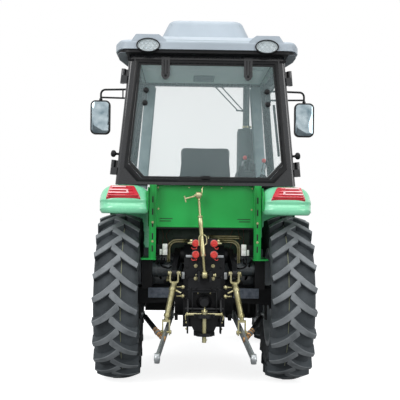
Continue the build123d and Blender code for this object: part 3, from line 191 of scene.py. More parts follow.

# Bar tops: the tyre rubber lightened, a painted highlight of the light on the bars' tops.
BAR_TOP_HIGHLIGHT = finish_of("tyre_bar_top_painted_highlight", (100, 105, 108), (140, 145, 148), (0.6, 0.82), (300, 0.0006), 9)
STRIPE = finish_of("mould_line", (128, 132, 108), (156, 158, 126), (0.6, 0.8), (500, 0.0002), 20)
CHROME = finish_of("bright_chrome", (200, 204, 206), (224, 228, 230), (0.1, 0.2), (300, 0.00005), 12, 0.9)
CUP = finish_of("lamp_reflector", (206, 214, 220), (236, 240, 243), (0.2, 0.35), (300, 0.0002), 30, 0.25)
SEAL = finish_of("window_rubber", (12, 14, 15), (22, 24, 26), (0.5, 0.65), (900, 0.0002), 15)
VENT = finish_of("vent_grille", (120, 138, 142), (142, 158, 162), (0.6, 0.75), (900, 0.0002), 12)
# Rib paint: the red lens lightened to pale pink, a painted highlight on the raised ribs.
RIB_HIGHLIGHT = finish_of("red_lens_rib_highlight", (246, 168, 174), (252, 206, 208), (0.1, 0.2), (300, 0.0002), 8,
                      Coat_Weight=0.6)
# Shaded green: the green paint darkened, painted shade, used on the shield under the cab.
SHADED_GREEN = finish_of("shaded_green_paint", (8, 44, 24), (14, 62, 34), (0.35, 0.5), (900, 0.0001))
CAB_BLACK = finish_of("cab_frame_paint", (9, 12, 16), (19, 23, 29), (0.2, 0.32), (700, 0.0001),
                      Specular_IOR_Level=0.4, Coat_Weight=0.8, Coat_Roughness=0.08)
WHITE_PLASTIC = finish_of("white_plastic", (226, 228, 222), (242, 243, 238), (0.45, 0.6), (900, 0.0001), 12)
WIRE = finish_of("brown_wire", (92, 50, 40), (130, 70, 56), (0.45, 0.6), (900, 0.0001), 30)
COPPER = finish_of("brown_zinc", (178, 128, 78), (214, 168, 116), (0.28, 0.45), (700, 0.0002), 26, 0.7)
SILVER_STEEL = finish_of("forged_steel", (150, 154, 156), (188, 192, 194), (0.3, 0.48), (420, 0.0003), 18,
                         0.7)
TRIM = finish_of("pillar_trim", (128, 148, 152), (156, 174, 178), (0.55, 0.7), (900, 0.0003), 10)
# Tank paint: black paint lightened to grey, a painted highlight of the tanks' shine.
TANK_HIGHLIGHT_GREY = finish_of("tank_paint_painted_highlight", (84, 92, 96), (120, 130, 134), (0.2, 0.32), (500, 0.0002),
                 Coat_Weight=0.8, Coat_Roughness=0.1)
# Axle faces: black casting lightened to blue-grey, a painted highlight of the light on them.
CASTING_HIGHLIGHT = finish_of("casting_painted_highlight", (98, 106, 118), (146, 154, 168), (0.5, 0.7), (160, 0.001), 30,
                  Specular_IOR_Level=0.3)
LINK = finish_of("lower_link_steel", (128, 134, 134), (168, 174, 174), (0.34, 0.5), (420, 0.0003), 18, 0.5)
MIRROR = finish_of("mirror_glass", (118, 140, 150), (206, 220, 226), (0.02, 0.05), (120, 0.00002), 11, 0.85)
CLEAR = glass_of("clear_lens", (0.95, 0.97, 0.98, 1), (0.0, 0.04))

LOOKS = {
    "rear_panel": GREEN, "fenders": GREEN, "hood_shell": GREEN, "roof_shell": ROOF, "roof_pan": PLASTIC,
    "work_lamps": LENS, "headlamps": LENS, "tail_lamps": RED, "couplers": RED_CAP, "hydraulic_pipes": ZINC,
    "top_link": ZINC, "lift_rod_left": ZINC, "lift_rod_right": ZINC, "lower_link_left": LINK,
    "lower_link_right": LINK, "tie_rod": STEEL, "windscreen": GLASS, "rear_window": GLASS,
    "door_glass_left": GLASS, "door_glass_right": GLASS, "mirrors": PLASTIC, "fuel_tank": PLASTIC,
    "battery_box": PLASTIC, "front_grille": PLASTIC, "seat": SEAT, "side_console": PLASTIC,
    "steering_column": PLASTIC, "steering_wheel": PLASTIC, "transmission_case": CAST,
    "rear_axle_housings": CAST, "front_axle_beam": CAST, "front_weights": CAST, "lift_housing": CAST,
    "engine_block": CAST, "knuckle_left": CAST, "knuckle_right": CAST, "trailer_hitch": CAST,
    "lift_arms": CAST, "cab_frame": CAB_BLACK, "door_frame_left": CAB_BLACK, "door_frame_right": CAB_BLACK,
}


def dress(node):
    obj = NODES[node]
    look = LOOKS.get(node, BLACK)
    if "tyre" in node:
        look = RUBBER
    if "rim" in node:
        look = SILVER
    obj.data.materials.clear()
    obj.data.materials.append(look)


for node_name in NODES:
    dress(node_name)

# The colour slot of each look. A look that isn't here has none.
SLOTS = {look.name: slot for slot, looks in {
    "black_plastic": (PLASTIC, SEAL), "zinc_plated": (ZINC, COPPER), "plain_steel": (STEEL, SILVER_STEEL),
    "painted_green": (GREEN, SHADED_GREEN), "painted_black": (TANK_HIGHLIGHT_GREY, CAST, BLACK), "red_cap": (RED_CAP,),
    "clear_glass": (GLASS, CLEAR), "lamp_lens": (LENS,), "light_grey_plastic": (UNDERSIDE,),
}.items() for look in looks}

# Directions and sides
OUT, AHEAD, BACK, UP, DOWN = (1, 0, 0), (0, 1, 0), (0, -1, 0), (0, 0, 1), (0, 0, -1)
ONCE, BOTH = (1,), (1, -1)
HANDS = ((1, "right"), (-1, "left"))
AXIS_ORDER = {"x": lambda a, b, c: (c, a, b), "y": lambda a, b, c: (a, c, b), "z": lambda a, b, c: (a, b, c)}

# Measures that the part's source has too
AXLES = (("rear", 1278, 0, 630, -20), ("front", 1350, 2050, 445, -35))  # end, track, y, radius, disc's offset
ROOF_REAR_Y = -480.0
CAB_REAR_Y = -365.0
CAB_HALF, CAB_BASE_Z, CAB_LEAN = 664, 1486, 5.55  # half width where the sides' lean of 5.55 degrees starts
FOOT_Y, FOOT_Z, HEAD_Y, HEAD_Z = 1155, 955.9, 965, 2430  # the windscreen's lower and upper edges
LAMP_X, LAMP_Z = 430.0, 2480.0
STRAP_X = 304.0
POST_X = 360.0
LIFT_Y, LIFT_Z = -80.0, 950.0
LINK_Y, LINK_Z, LINK_LENGTH = -40, 490, 850
MOVING_GAP = 6.0
DISC_WALL = 12.0

# Measures of the looks alone
CROWN_FALL = 0.055  # from the tread's middle down to its shoulder, as a share of the tyre's radius
STRIPE_FALL = 0.0075
LEVERS = ((300, 30, 1700), (340, 90, 1716), (300, 170, 1700), (350, 240, 1690), (450, 40, 1680), (478, 120, 1672))
SKINS = {}


# Mesh helpers
def standing(at, toward, side=1):
    """A place at a point with its own Z along a direction, both given for the right side."""
    turn = Vector((side * toward[0], toward[1], toward[2])).normalized().to_track_quat("Z", "Y")
    return Matrix.Translation((side * at[0], at[1], at[2])) @ turn.to_matrix().to_4x4()


class Batch:
    """Pieces of one finish on one body, gathered into one object, and drawn once or on both sides."""

    def __init__(self, name, look, body="chassis", sides=ONCE, slot="own"):
        self.name, self.look, self.body, self.sides = name, look, body, sides
        self.slot = SLOTS.get(look.name) if slot == "own" else slot
        self.mesh = bmesh.new()

    def add(self, vertices, faces, bevel=0.0, place=None):
        """Takes in one closed form, with its sharp edges rounded by the bevel."""
        part = bmesh.new()
        made = [part.verts.new(Vector(v)) for v in vertices]
        for face in faces:
            part.faces.new([made[i] for i in face])
        if bevel:
            bmesh.ops.recalc_face_normals(part, faces=part.faces)
            sharp = [e for e in part.edges if e.is_manifold and e.calc_face_angle(0) > 0.5]
            bmesh.ops.bevel(part, geom=sharp, offset=bevel, segments=2, affect="EDGES", profile=0.6)
        if place is not None:
            part.transform(place)
        bmesh.ops.recalc_face_normals(part, faces=part.faces)
        spare = bpy.data.meshes.new("spare")
        part.to_mesh(spare)
        part.free()
        self.mesh.from_mesh(spare)
        bpy.data.meshes.remove(spare)

    def solid(self, vertices, faces, bevel=0.0, place=None):
        """A form given for the right side, drawn on each of the batch's sides."""
        for side in self.sides:
            self.add([(side * x, y, z) for x, y, z in vertices], faces, bevel, place)

    def box(self, low, high, bevel=2.0, place=None):
        """A block between two corners, with its edges rounded."""
        x, y, z = zip(low, high)
        corners = [(x[i], y[j], z[k]) for k in (0, 1) for j in (0, 1) for i in (0, 1)]
        faces = [(0, 1, 3, 2), (4, 6, 7, 5), (0, 4, 5, 1), (2, 3, 7, 6), (0, 2, 6, 4), (1, 5, 7, 3)]
        self.solid(corners, faces, bevel, place)

    def prism(self, outline, depth, axis="y", start=0.0, bevel=1.5, place=None):
        """A flat outline carried along an axis. Outlines are (x, z), (y, z) or (x, y)."""
        order = AXIS_ORDER[axis]
        count = len(outline)
        vertices = [order(a, b, level) for level in (start, start + depth) for a, b in outline]
        faces = [tuple(range(count)), tuple(range(2 * count - 1, count - 1, -1))]
        faces += [(i, (i + 1) % count, count + (i + 1) % count, count + i) for i in range(count)]
        self.solid(vertices, faces, bevel, place)

    def ring(self, outer, inner, axis, start, depth, bevel=1.0, place=None):
        """A frame between two outlines with the same number of points."""
        order = AXIS_ORDER[axis]
        count, vertices, faces = len(outer), [], []
        for loop, level in ((outer, start), (inner, start), (inner, start + depth), (outer, start + depth)):
            vertices += [order(a, b, level) for a, b in loop]
        for turn in range(4):
            low, high = turn * count, (turn + 1) % 4 * count
            faces += [(low + i, low + (i + 1) % count, high + (i + 1) % count, high + i) for i in range(count)]
        self.solid(vertices, faces, bevel, place)

    def lathe(self, profile, at, toward, sectors=24, closed=False):
        """A (radius, distance) outline turned round a line through a point."""
        vertices, faces, count = [], [], len(profile)
        for i in range(sectors):
            angle = 2 * pi * i / sectors
            vertices += [(r * cos(angle), r * sin(angle), d) for r, d in profile]
            ahead = (i + 1) % sectors
            for k in range(count if closed else count - 1):
                after = (k + 1) % count
                faces.append((i * count + k, i * count + after, ahead * count + after, ahead * count + k))
        if not closed:
            faces.append(tuple(i * count for i in range(sectors)))
            faces.append(tuple(i * count + count - 1 for i in reversed(range(sectors))))
        for side in self.sides:
            self.add(vertices, faces, 0, standing(at, toward, side))

    def rod(self, start, end, radius, sectors=14):
        """A round bar with its ends a little chamfered."""
        start, end = Vector(start), Vector(end)
        length = (end - start).length
        nip = min(1.0, radius / 3, length / 3)
        profile = [(radius - nip, 0), (radius, nip), (radius, length - nip), (radius - nip, length)]
        self.lathe(profile, start, end - start, sectors)

    def tube(self, points, radius, sides=10, rounds=6):
        """A round bar along points, with the corners drawn as curves."""
        for side in self.sides:
            path = smooth_path([Vector((side * x, y, z)) for x, y, z in points], rounds)
            vertices, faces = [], []
            across = (path[1] - path[0]).orthogonal().normalized()
            for i, point in enumerate(path):
                along = (path[min(i + 1, len(path) - 1)] - path[max(i - 1, 0)]).normalized()
                across = (across - along * across.dot(along)).normalized()
                other = along.cross(across)
                for k in range(sides):
                    angle = 2 * pi * k / sides
                    vertices.append(point + radius * (cos(angle) * across + sin(angle) * other))
            for i in range(0, len(vertices) - sides, sides):
                for k in range(sides):
                    after = (k + 1) % sides
                    faces.append((i + k, i + after, i + sides + after, i + sides + k))
            faces.append(tuple(reversed(range(sides))))
            faces.append(tuple(range(len(vertices) - sides, len(vertices))))
            self.add(vertices, faces)

    def bolt(self, at, toward, size=10.0, washer=True):
        """A hexagon head with a chamfered top, standing on a washer."""
        base = 0.0
        if washer:
            plate = [(size * 1.25, -0.5), (size * 1.25, size * 0.22), (size * 0.8, size * 0.25)]
            self.lathe(plate, at, toward, 18)
            base = size * 0.2
        top, vertices = base + size * 0.75, []
        for radius, height in ((size, base), (size, top - size * 0.12), (size * 0.86, top)):
            vertices += [(radius * cos(pi * k / 3), radius * sin(pi * k / 3), height) for k in range(6)]
        faces = [tuple(range(12, 18)), tuple(reversed(range(6)))]
        for turn in (0, 6):
            faces += [(turn + k, turn + (k + 1) % 6, turn + 6 + (k + 1) % 6, turn + 6 + k) for k in range(6)]
        for side in self.sides:
            self.add(vertices, faces, 0, standing(at, toward, side))
        stud = [(size * 0.5, top - 1), (size * 0.5, top + size * 0.3), (size * 0.38, top + size * 0.4)]
        self.lathe(stud, at, toward, 12)

    def done(self, sharp=35.0):
        """Makes the gathered forms one object that rides on the body."""
        for vertex in self.mesh.verts:
            vertex.co = metres(*vertex.co)
        data = bpy.data.meshes.new(self.name)
        self.mesh.to_mesh(data)
        self.mesh.free()
        data.materials.append(self.look)
        return settle(data, self.body, sharp)


def settle(data, body, sharp=35.0):
    """Shades a mesh, puts it in the scene and lets it ride on its body."""
    for face in data.polygons:
        face.use_smooth = True
    data.set_sharp_from_angle(angle=radians(sharp))
    piece = bpy.data.objects.new(data.name, data)
    bpy.context.scene.collection.objects.link(piece)
    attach(piece, body)
    return piece


def smooth_path(points, rounds):
    """Points along a run, with each corner cut by a short curve."""
    path = [points[0]]
    for before, corner, after in zip(points, points[1:], points[2:]):
        reach = min((corner - before).length, (after - corner).length) * 0.45
        start = corner + (before - corner).normalized() * reach
        end = corner + (after - corner).normalized() * reach
        for i in range(rounds + 1):
            share = i / rounds
            path.append((1 - share) ** 2 * start + 2 * share * (1 - share) * corner + share**2 * end)
    return path + [points[-1]]


# Tyres, with rounded walls and barred tread
def tyre_mesh(name, middle, radius, width, tread, lug_h, rim_r, flange_r, rim_w, lugs, lug_w):
    """Turns the wall profile round the axle and lays the bars over it. Middle is the wheel's centre."""
    half, mouth = width / 2, rim_w / 2 - 8
    crown = radius - lug_h
    swell = flange_r + 0.5 * (crown - flange_r)
    profile = [(mouth, rim_r + 1), (mouth + 3, flange_r - 6)]
    profile += [(mouth + 1, flange_r + 8), (mouth + 9, flange_r + 22)]
    profile += [(half - 14, swell - 42), (half - 4, swell - 14), (half - 2, swell + 16), (half - 9, swell + 40)]
    fall = CROWN_FALL * radius
    profile += [(0.9 * tread, crown - 20 - 0.8 * fall), (0.74 * tread, crown - 8 - 0.5 * fall)]
    profile += [(0.45 * tread, crown - 1 - 0.2 * fall), (0.08, crown)]
    sections = 132
    data = bmesh.new()
    ring = profile + [(-x, r) for x, r in reversed(profile)]
    rows = []
    for i in range(sections):
        angle = 2 * pi * i / sections
        rows.append([data.verts.new((x, -r * cos(angle), r * sin(angle))) for x, r in ring])
    for i in range(sections):
        here, ahead = rows[i], rows[(i + 1) % sections]
        for k in range(len(ring)):
            after = (k + 1) % len(ring)
            data.faces.new((here[k], here[after], ahead[after], ahead[k]))
    for flank in (1, -1):
        for i in range(lugs):
            turn = 2 * pi * (i + (0.5 if flank < 0 else 0)) / lugs
            lay_bar(data, flank, turn, radius, crown, swell, tread, lug_w)
    bmesh.ops.recalc_face_normals(data, faces=data.faces)
    for vertex in data.verts:
        x, y, z = vertex.co
        vertex.co = metres(middle[0] + x, middle[1] + y, middle[2] + z)
    mesh = bpy.data.meshes.new(name)
    data.to_mesh(mesh)
    data.free()
    return mesh


def lay_bar(data, flank, turn, radius, crown, swell, tread, lug_w):
    """One bar: nose across the middle, a gentle bend, then down over the shoulder."""
    cross = 0.2 * tread
    fall = 0.78 * (tread + cross)
    stations = 9
    rows = []
    for i in range(stations + 2):
        share = min(i / stations, 1.0)
        x = -cross + share * (tread + cross)
        bend = -0.085 * tread * sin(pi * share)
        s = fall / 2 - share * fall + bend
        thick = lug_w * (0.44 - 0.14 * share)
        slope = -fall / (tread + cross)
        along = Vector((1.0, slope)).normalized()
        normal = Vector((-along.y, along.x))
        drop = CROWN_FALL * radius * (abs(x) / tread) ** 2
        top = radius - drop
        low = crown - 14 - drop - 30 * max(share - 0.8, 0) / 0.2
        if i == stations + 1:
            x, s, top, low, thick = tread * 0.985, s - 5, swell + 30, swell + 8, thick * 0.8
        flare = 9.0
        row = []
        ends = [(thick + flare, low), (thick + 2.5, top - 5), (thick - 3, top), (-thick + 3, top)]
        ends += [(-thick - 2.5, top - 5), (-thick - flare, low)]
        for out, r in ends:
            px, ps = x + normal.x * out * 0.35, s + normal.y * out * 1.06
            angle = turn + ps / radius
            px = max(-tread, min(tread, px)) if i < stations else px
            row.append(data.verts.new((flank * px, -r * cos(angle), r * sin(angle))))
        rows.append(row)
    for i, (here, ahead) in enumerate(zip(rows, rows[1:])):
        for k in range(5):
            face = data.faces.new((here[k], here[k + 1], ahead[k + 1], ahead[k]))
            # The bars' top faces take the second material, the rubber with a painted highlight.
            face.material_index = 1 if k in (1, 2, 3) and i < stations else 0
    data.faces.new(rows[0])
    data.faces.new(list(reversed(rows[-1])))


def tyres():
    """Radius, width, half tread, bar height, rim radius, flange radius, rim width, bars a side, bar width."""
    shapes = {"rear": (630, 324, 157, 38, 352, 378, 280, 22, 72),
              "front": (445, 211, 101, 30, 250, 270, 190, 16, 52)}
    for side, hand in HANDS:
        for end, track, y, radius, _ in AXLES:
            sizes = shapes[end]
            middle = (side * track / 2, y, radius)
            data = tyre_mesh(f"{end}_tyre_{hand}_tread", middle, *sizes)
            data.materials.append(RUBBER)
            data.materials.append(BAR_TOP_HIGHLIGHT)
            piece = settle(data, f"{end}_wheel_{hand}", 38)
            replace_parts(piece, f"{end}_tyre_{hand}")
            stripe = Batch(f"{end}_tyre_{hand}_mould_line", STRIPE, f"{end}_wheel_{hand}")
            crown, inner = radius - sizes[3] - STRIPE_FALL * radius, middle[0] - side * 42 * sizes[2] / 157
            band = [(crown - 2, -2.2), (crown + 0.8, -2.2), (crown + 0.8, 2.2), (crown - 2, 2.2)]
            stripe.lathe(band, (inner, y, radius), OUT, 96, closed=True)
            stripe.done()


def wheel_fittings():
    """The nuts that hold each wheel's disc to its hub."""
    pitches = {"rear": 101, "front": 76}
    for side, hand in HANDS:
        for end, track, y, z, disc in AXLES:
            face = side * (track / 2 + disc + DISC_WALL)
            nuts = Batch(f"{end}_wheel_{hand}_nuts", ZINC, f"{end}_wheel_{hand}")
            for i in range(8):
                turn = 2 * pi * (i + 0.5) / 8
                nuts.bolt((face, y + pitches[end] * cos(turn), z + pitches[end] * sin(turn)), (side, 0, 0), 12)
            nuts.done()


def roof_trim():
    """The rear work lamps with their reflectors, the cab's ceiling and the roof's light underside."""
    lens = Batch("work_lamp_lenses", GLASS, sides=BOTH)
    cups = Batch("work_lamp_reflectors", CUP, sides=BOTH)
    bodies = Batch("work_lamp_bodies", PLASTIC, sides=BOTH)
    faces = Batch("work_lamp_faces", LENS, sides=BOTH)
    y = ROOF_REAR_Y
    bodies.ring(lamp_oval(85.5, 51.5), lamp_oval(78, 44.5), "y", y - 13, 42, 2.0)
    faces.prism(lamp_oval(79, 45), 12, "y", y + 4, 0.5)
    lens.prism(lamp_oval(77.5, 44), 4, "y", y - 10, 1.2)
    for row, pitch in ((-1, 33), (1, 31)):
        for column in range(4):
            x, z = LAMP_X + (column - 1.5) * pitch, LAMP_Z + row * 17
            bodies.lathe([(13.6, 0), (13.6, 2.4), (12.2, 2.4), (12.2, 0)], (x, y + 4, z), BACK, 24, closed=True)
            cups.lathe([(12.2, 0), (12.2, 2), (5.5, 0.8), (0.2, 0.6)], (x, y + 4, z), BACK, 24)
            bodies.lathe([(2.6, 0.4), (2.4, 1.6), (0.2, 2)], (x, y + 3.6, z - row), BACK, 10)
    for batch in (lens, cups, faces):
        batch.done()
    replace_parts(bodies.done(), "work_lamps")
    liner = Batch("roof_liner", LINER)
    liner.prism([(-505, -298), (505, -298), (505, 885), (-505, 885)], 7, "z", 2422.5, 3)
    liner.prism([(-500, -296), (500, -296), (470, -150), (-470, -150)], 14, "z", 2409, 4)
    liner.sides = BOTH
    liner.prism([(330, 120), (470, 150), (470, 700), (360, 760)], 12, "z", 2411, 4)
    liner.done()
    vent = Batch("roof_vent", VENT)
    vent.prism([(-88, 450), (88, 450), (88, 760), (-88, 760)], 6, "z", 2417, 2)
    for i in range(9):
        vent.box((-76, 466 + 33 * i, 2412), (76, 474 + 33 * i, 2418), 1)
    vent.done()
    skirt = Batch("roof_underside", UNDERSIDE, sides=BOTH)
    edge = [(592, -454), (636, -452), (660, -330), (660, -155), (606, 175), (606, 490), (650, 800), (592, 900)]
    skirt.prism(edge, 3.2, "z", 2426.8, 0.8)
    skirt.done()


def lamp_oval(half_w, half_h, count=40):
    """An oval round the right work lamp's middle, as (x, z) points."""
    turns = [2 * pi * i / count for i in range(count)]
    return [(LAMP_X + half_w * cos(turn), LAMP_Z + half_h * sin(turn)) for turn in turns]


def window_outline(inset):
    """The rear window's opening, drawn in by a margin."""
    top, base, cut = 2372 - inset, 1524 + inset, 110 + inset * 0.2
    right = []
    for z, nearer in ((top, 0), (base + cut, 0), (base, cut)):
        right.append((CAB_HALF - (z - CAB_BASE_Z) * tan(radians(CAB_LEAN)) - 78 - inset - nearer, z))
    return right + [(-x, z) for x, z in reversed(right)]


def window_trim():
    """The rear window's rubber, its round caps and straps, its latch and its gas springs."""
    seal = Batch("rear_window_seal", SEAL)
    seal.ring(window_outline(1), window_outline(15), "y", CAB_REAR_Y + 4.2, 3.6, 1.2)
    seal.ring(window_outline(1), window_outline(11), "y", CAB_REAR_Y + 14.3, 8, 1.5)
    seal.done()
    fittings = Batch("rear_window_caps", PLASTIC, sides=BOTH)
    for x, z in ((446, 2172), (453, 2078)):
        fittings.lathe([(20, 0), (20, 6), (17, 10), (9, 13), (0.2, 14)], (x, CAB_REAR_Y + 8, z), BACK, 24)
        fittings.lathe([(16, 0), (16, 8), (12, 10)], (x, CAB_REAR_Y + 14, z), AHEAD, 20)
    fittings.box((439, CAB_REAR_Y + 24, 2060), (471, CAB_REAR_Y + 32, 2190), 3)
    strap_y = CAB_REAR_Y - 12
    for x in (STRAP_X - 11, STRAP_X + 11):
        fittings.tube([(x, strap_y, 2292), (x, strap_y, 2395)], 3.5, 8)
    fittings.lathe([(9, 0), (9, 5), (6, 8), (0.2, 8.5)], (STRAP_X, strap_y, 2280), BACK, 16)
    fittings.box((536, CAB_REAR_Y - 6, 2384), (584, CAB_REAR_Y + 2, 2400), 2)
    fittings.sides = ONCE
    fittings.box((-210, CAB_REAR_Y - 8, 1500), (210, CAB_REAR_Y + 1, 1508), 2)
    fittings.box((-34, CAB_REAR_Y - 7, 1511), (34, CAB_REAR_Y + 5, 1545), 4)
    fittings.done()
    struts = Batch("rear_window_struts", CHROME, sides=BOTH)
    struts.rod((548, CAB_REAR_Y + 30, 1640), (462, CAB_REAR_Y + 30, 1544), 5.5)
    struts.done()
    tubes = Batch("rear_window_gas_springs", PLASTIC, sides=BOTH)
    tubes.rod((500, CAB_REAR_Y + 42, 2080), (545, CAB_REAR_Y + 70, 1700), 9)
    tubes.done()


def wiper():
    """The windscreen's wiper arms, blade and motor, seen through the cab."""
    arms = Batch("windscreen_wiper", PLASTIC)
    for top, base in ((113, 318), (169, 366)):
        arms.tube([slope_point(top, 2405), slope_point(base, 2198)], 5, 8)
    arms.tube([slope_point(300, 2202), slope_point(384, 2196)], 7, 8)
    arms.tube([slope_point(400, 2185, 12), slope_point(470, 1760, 12)], 6, 8)
    arms.box((90, 962, 2404), (200, 992, 2422), 6)
    arms.done()


def slope_point(x, z, lift=14):
    """A point on the windscreen's slope, a little off its outer face."""
    share = (z - FOOT_Z) / (HEAD_Z - FOOT_Z)
    return x, FOOT_Y + share * (HEAD_Y - FOOT_Y) - 22 + lift, z


def tail_lamp_trim():
    """Each lamp's base and its ribs, which carry a painted highlight, on the fender's slope."""
    turn = Matrix.Translation((0, -515, 1372)) @ Matrix.Rotation(atan2(90, 95), 4, "X")
    housing = Batch("tail_lamp_housings", RED, sides=BOTH)
    housing.prism([(470, 2), (715, 2), (697, 117), (515, 117)], 20, "z", -14, 1.2, turn)
    housing.done()
    # The ribs are pale pink, a painted highlight on the red lens.
    brightener = Batch("tail_lamp_rib_highlights", RIB_HIGHLIGHT, sides=BOTH)
    brightener.prism([(554, 24), (570, 24), (574, 66), (560, 66)], 3, "z", 26.6, 1.4, turn)
    for rise, low, high in ((30, 556, 700), (60, 562, 694), (92, 576, 678)):
        brightener.prism([(low, rise - 6), (high, rise - 6), (high, rise + 6), (low, rise + 6)], 3, "z", 26.6, 1.4, turn)
    brightener.done()


def fender_shells():
    """Each fender is one pressed sheet: rounded shoulders, a groove and a full rolled lip at the rear."""
    run_line = [(-484, 1268), (-496, 1262), (-512, 1265), (-523, 1277), (-527, 1296), (-524, 1314), (-514, 1327)]
    run_line += [(-507, 1335), (-508, 1343), (-513, 1352), (-513, 1366), (-505, 1382), (-470, 1416), (-432, 1452)]
    run_line += [(-412, 1464), (-384, 1469), (-340, 1470), (-150, 1470), (120, 1470), (330, 1470), (368, 1466)]
    run_line += [(396, 1452), (430, 1412), (520, 1298), (640, 1147), (720, 1046), (752, 1004), (764, 975)]
    section = [(0, -84), (3, -62), (12, -42), (28, -25), (50, -12), (76, -3), (102, 0), (150, 1.5), (215, 1.5)]
    section += [(250, 0), (282, -6), (306, -16), (326, -32), (341, -54), (350, -76), (351, -92)]
    middle = section[-1][0] / 2
    lip = (0.86, 0.89, 0.93, 0.97)
    shells = []
    for side, hand in HANDS:
        data = bmesh.new()
        rows = []
        for i, (y, z) in enumerate(run_line):
            back, ahead = run_line[max(i - 1, 0)], run_line[min(i + 1, len(run_line) - 1)]
            run = Vector((ahead[0] - back[0], ahead[1] - back[1])).normalized()
            out = Vector((-1, 0)) if i < len(lip) else Vector((-run.y, run.x))
            taper = lip[i] if i < len(lip) else 1.0
            row = []
            for x, depth in section:
                x = 415 + middle + (x - middle) * taper
                row.append(data.verts.new(metres(side * x, y + out.x * depth, z + out.y * depth)))
            rows.append(row)
        for here, ahead in zip(rows, rows[1:]):
            for k in range(len(section) - 1):
                data.faces.new((here[k], here[k + 1], ahead[k + 1], ahead[k]))
        bmesh.ops.recalc_face_normals(data, faces=data.faces)
        mesh = bpy.data.meshes.new(f"fender_shell_{hand}")
        data.to_mesh(mesh)
        data.free()
        # The shells take the lightened green, a painted highlight.
        mesh.materials.append(FENDER_LIT_GREEN)
        shell = settle(mesh, "chassis", 60)
        wall = shell.modifiers.new("sheet", "SOLIDIFY")
        wall.thickness, wall.offset = 0.004, 0.0
        curve_over(shell)
        shells.append(shell)
    inner = Batch("fender_inner_walls", GREEN, sides=BOTH)
    line = [(-482, 1292), (-482, 1380), (-404, 1458), (366, 1458), (700, 1010), (758, 978), (758, 872), (566, 872)]
    line += [(362, 962), (362, 1168), (-322, 1168), (-358, 1278)]
    inner.prism(line, 5, "x", 416, 1.0)
    for piece in (*shells, inner.done()):
        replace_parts(piece, "fenders")
    trim = Batch("fender_rubber_strips", SEAL, sides=BOTH)
    trim.box((425, -352, 1468), (640, -338, 1477), 2)
    edge = [(762, y, z) for y, z in ((-430, 1352), (-372, 1388), (330, 1388), (392, 1352), (700, 962))]
    trim.tube(edge, 6, 8, 4)
    trim.done()


def curve_over(piece):
    """Rounds a mesh with one step of subdivision."""
    curve = piece.modifiers.new("curve", "SUBSURF")
    curve.levels = curve.render_levels = 1


def panel_details():
    """Bolts, pressings and slots of the green panel and its two posts."""
    bolts = Batch("rear_panel_bolts", ZINC, sides=BOTH)
    green = Batch("rear_panel_pressings", GREEN, sides=BOTH)
    dark = Batch("rear_panel_slots", SEAL, sides=BOTH)
    for x, z, size in ((346, 1458, 7), (346, 1300, 6), (120, 1462, 5), (385, 1200, 7), (385, 1060, 7)):
        bolts.bolt((x, -313.5 if x < POST_X else -370.5, z), BACK, size)
    for x, z in ((240, 1226), (252, 1208)):
        dark.box((x, -316, z), (336, -311, z + 5), 1)
    for x in (POST_X, POST_X + 46):
        green.box((x, -386, 940), (x + 4, -366, 1474), 1.2)
    for z in (985, 1075, 1165, 1255, 1345):
        dark.box((POST_X + 20, -372, z), (POST_X + 30, -369.6, z + 46), 2)
    green.box((POST_X - 4, -388, 926), (POST_X + 96, -300, 932), 1.5)
    green.prism([(300, 1474), (345, 1474), (345, 1430)], 6, "y", -322, 1)
    green.sides = ONCE
    green.box((-352, -321, 1166), (352, -311, 1178), 2.5)
    green.box((-352, -319, 1462), (352, -311, 1474), 2.0)
    for batch in (bolts, green, dark):
        batch.done()


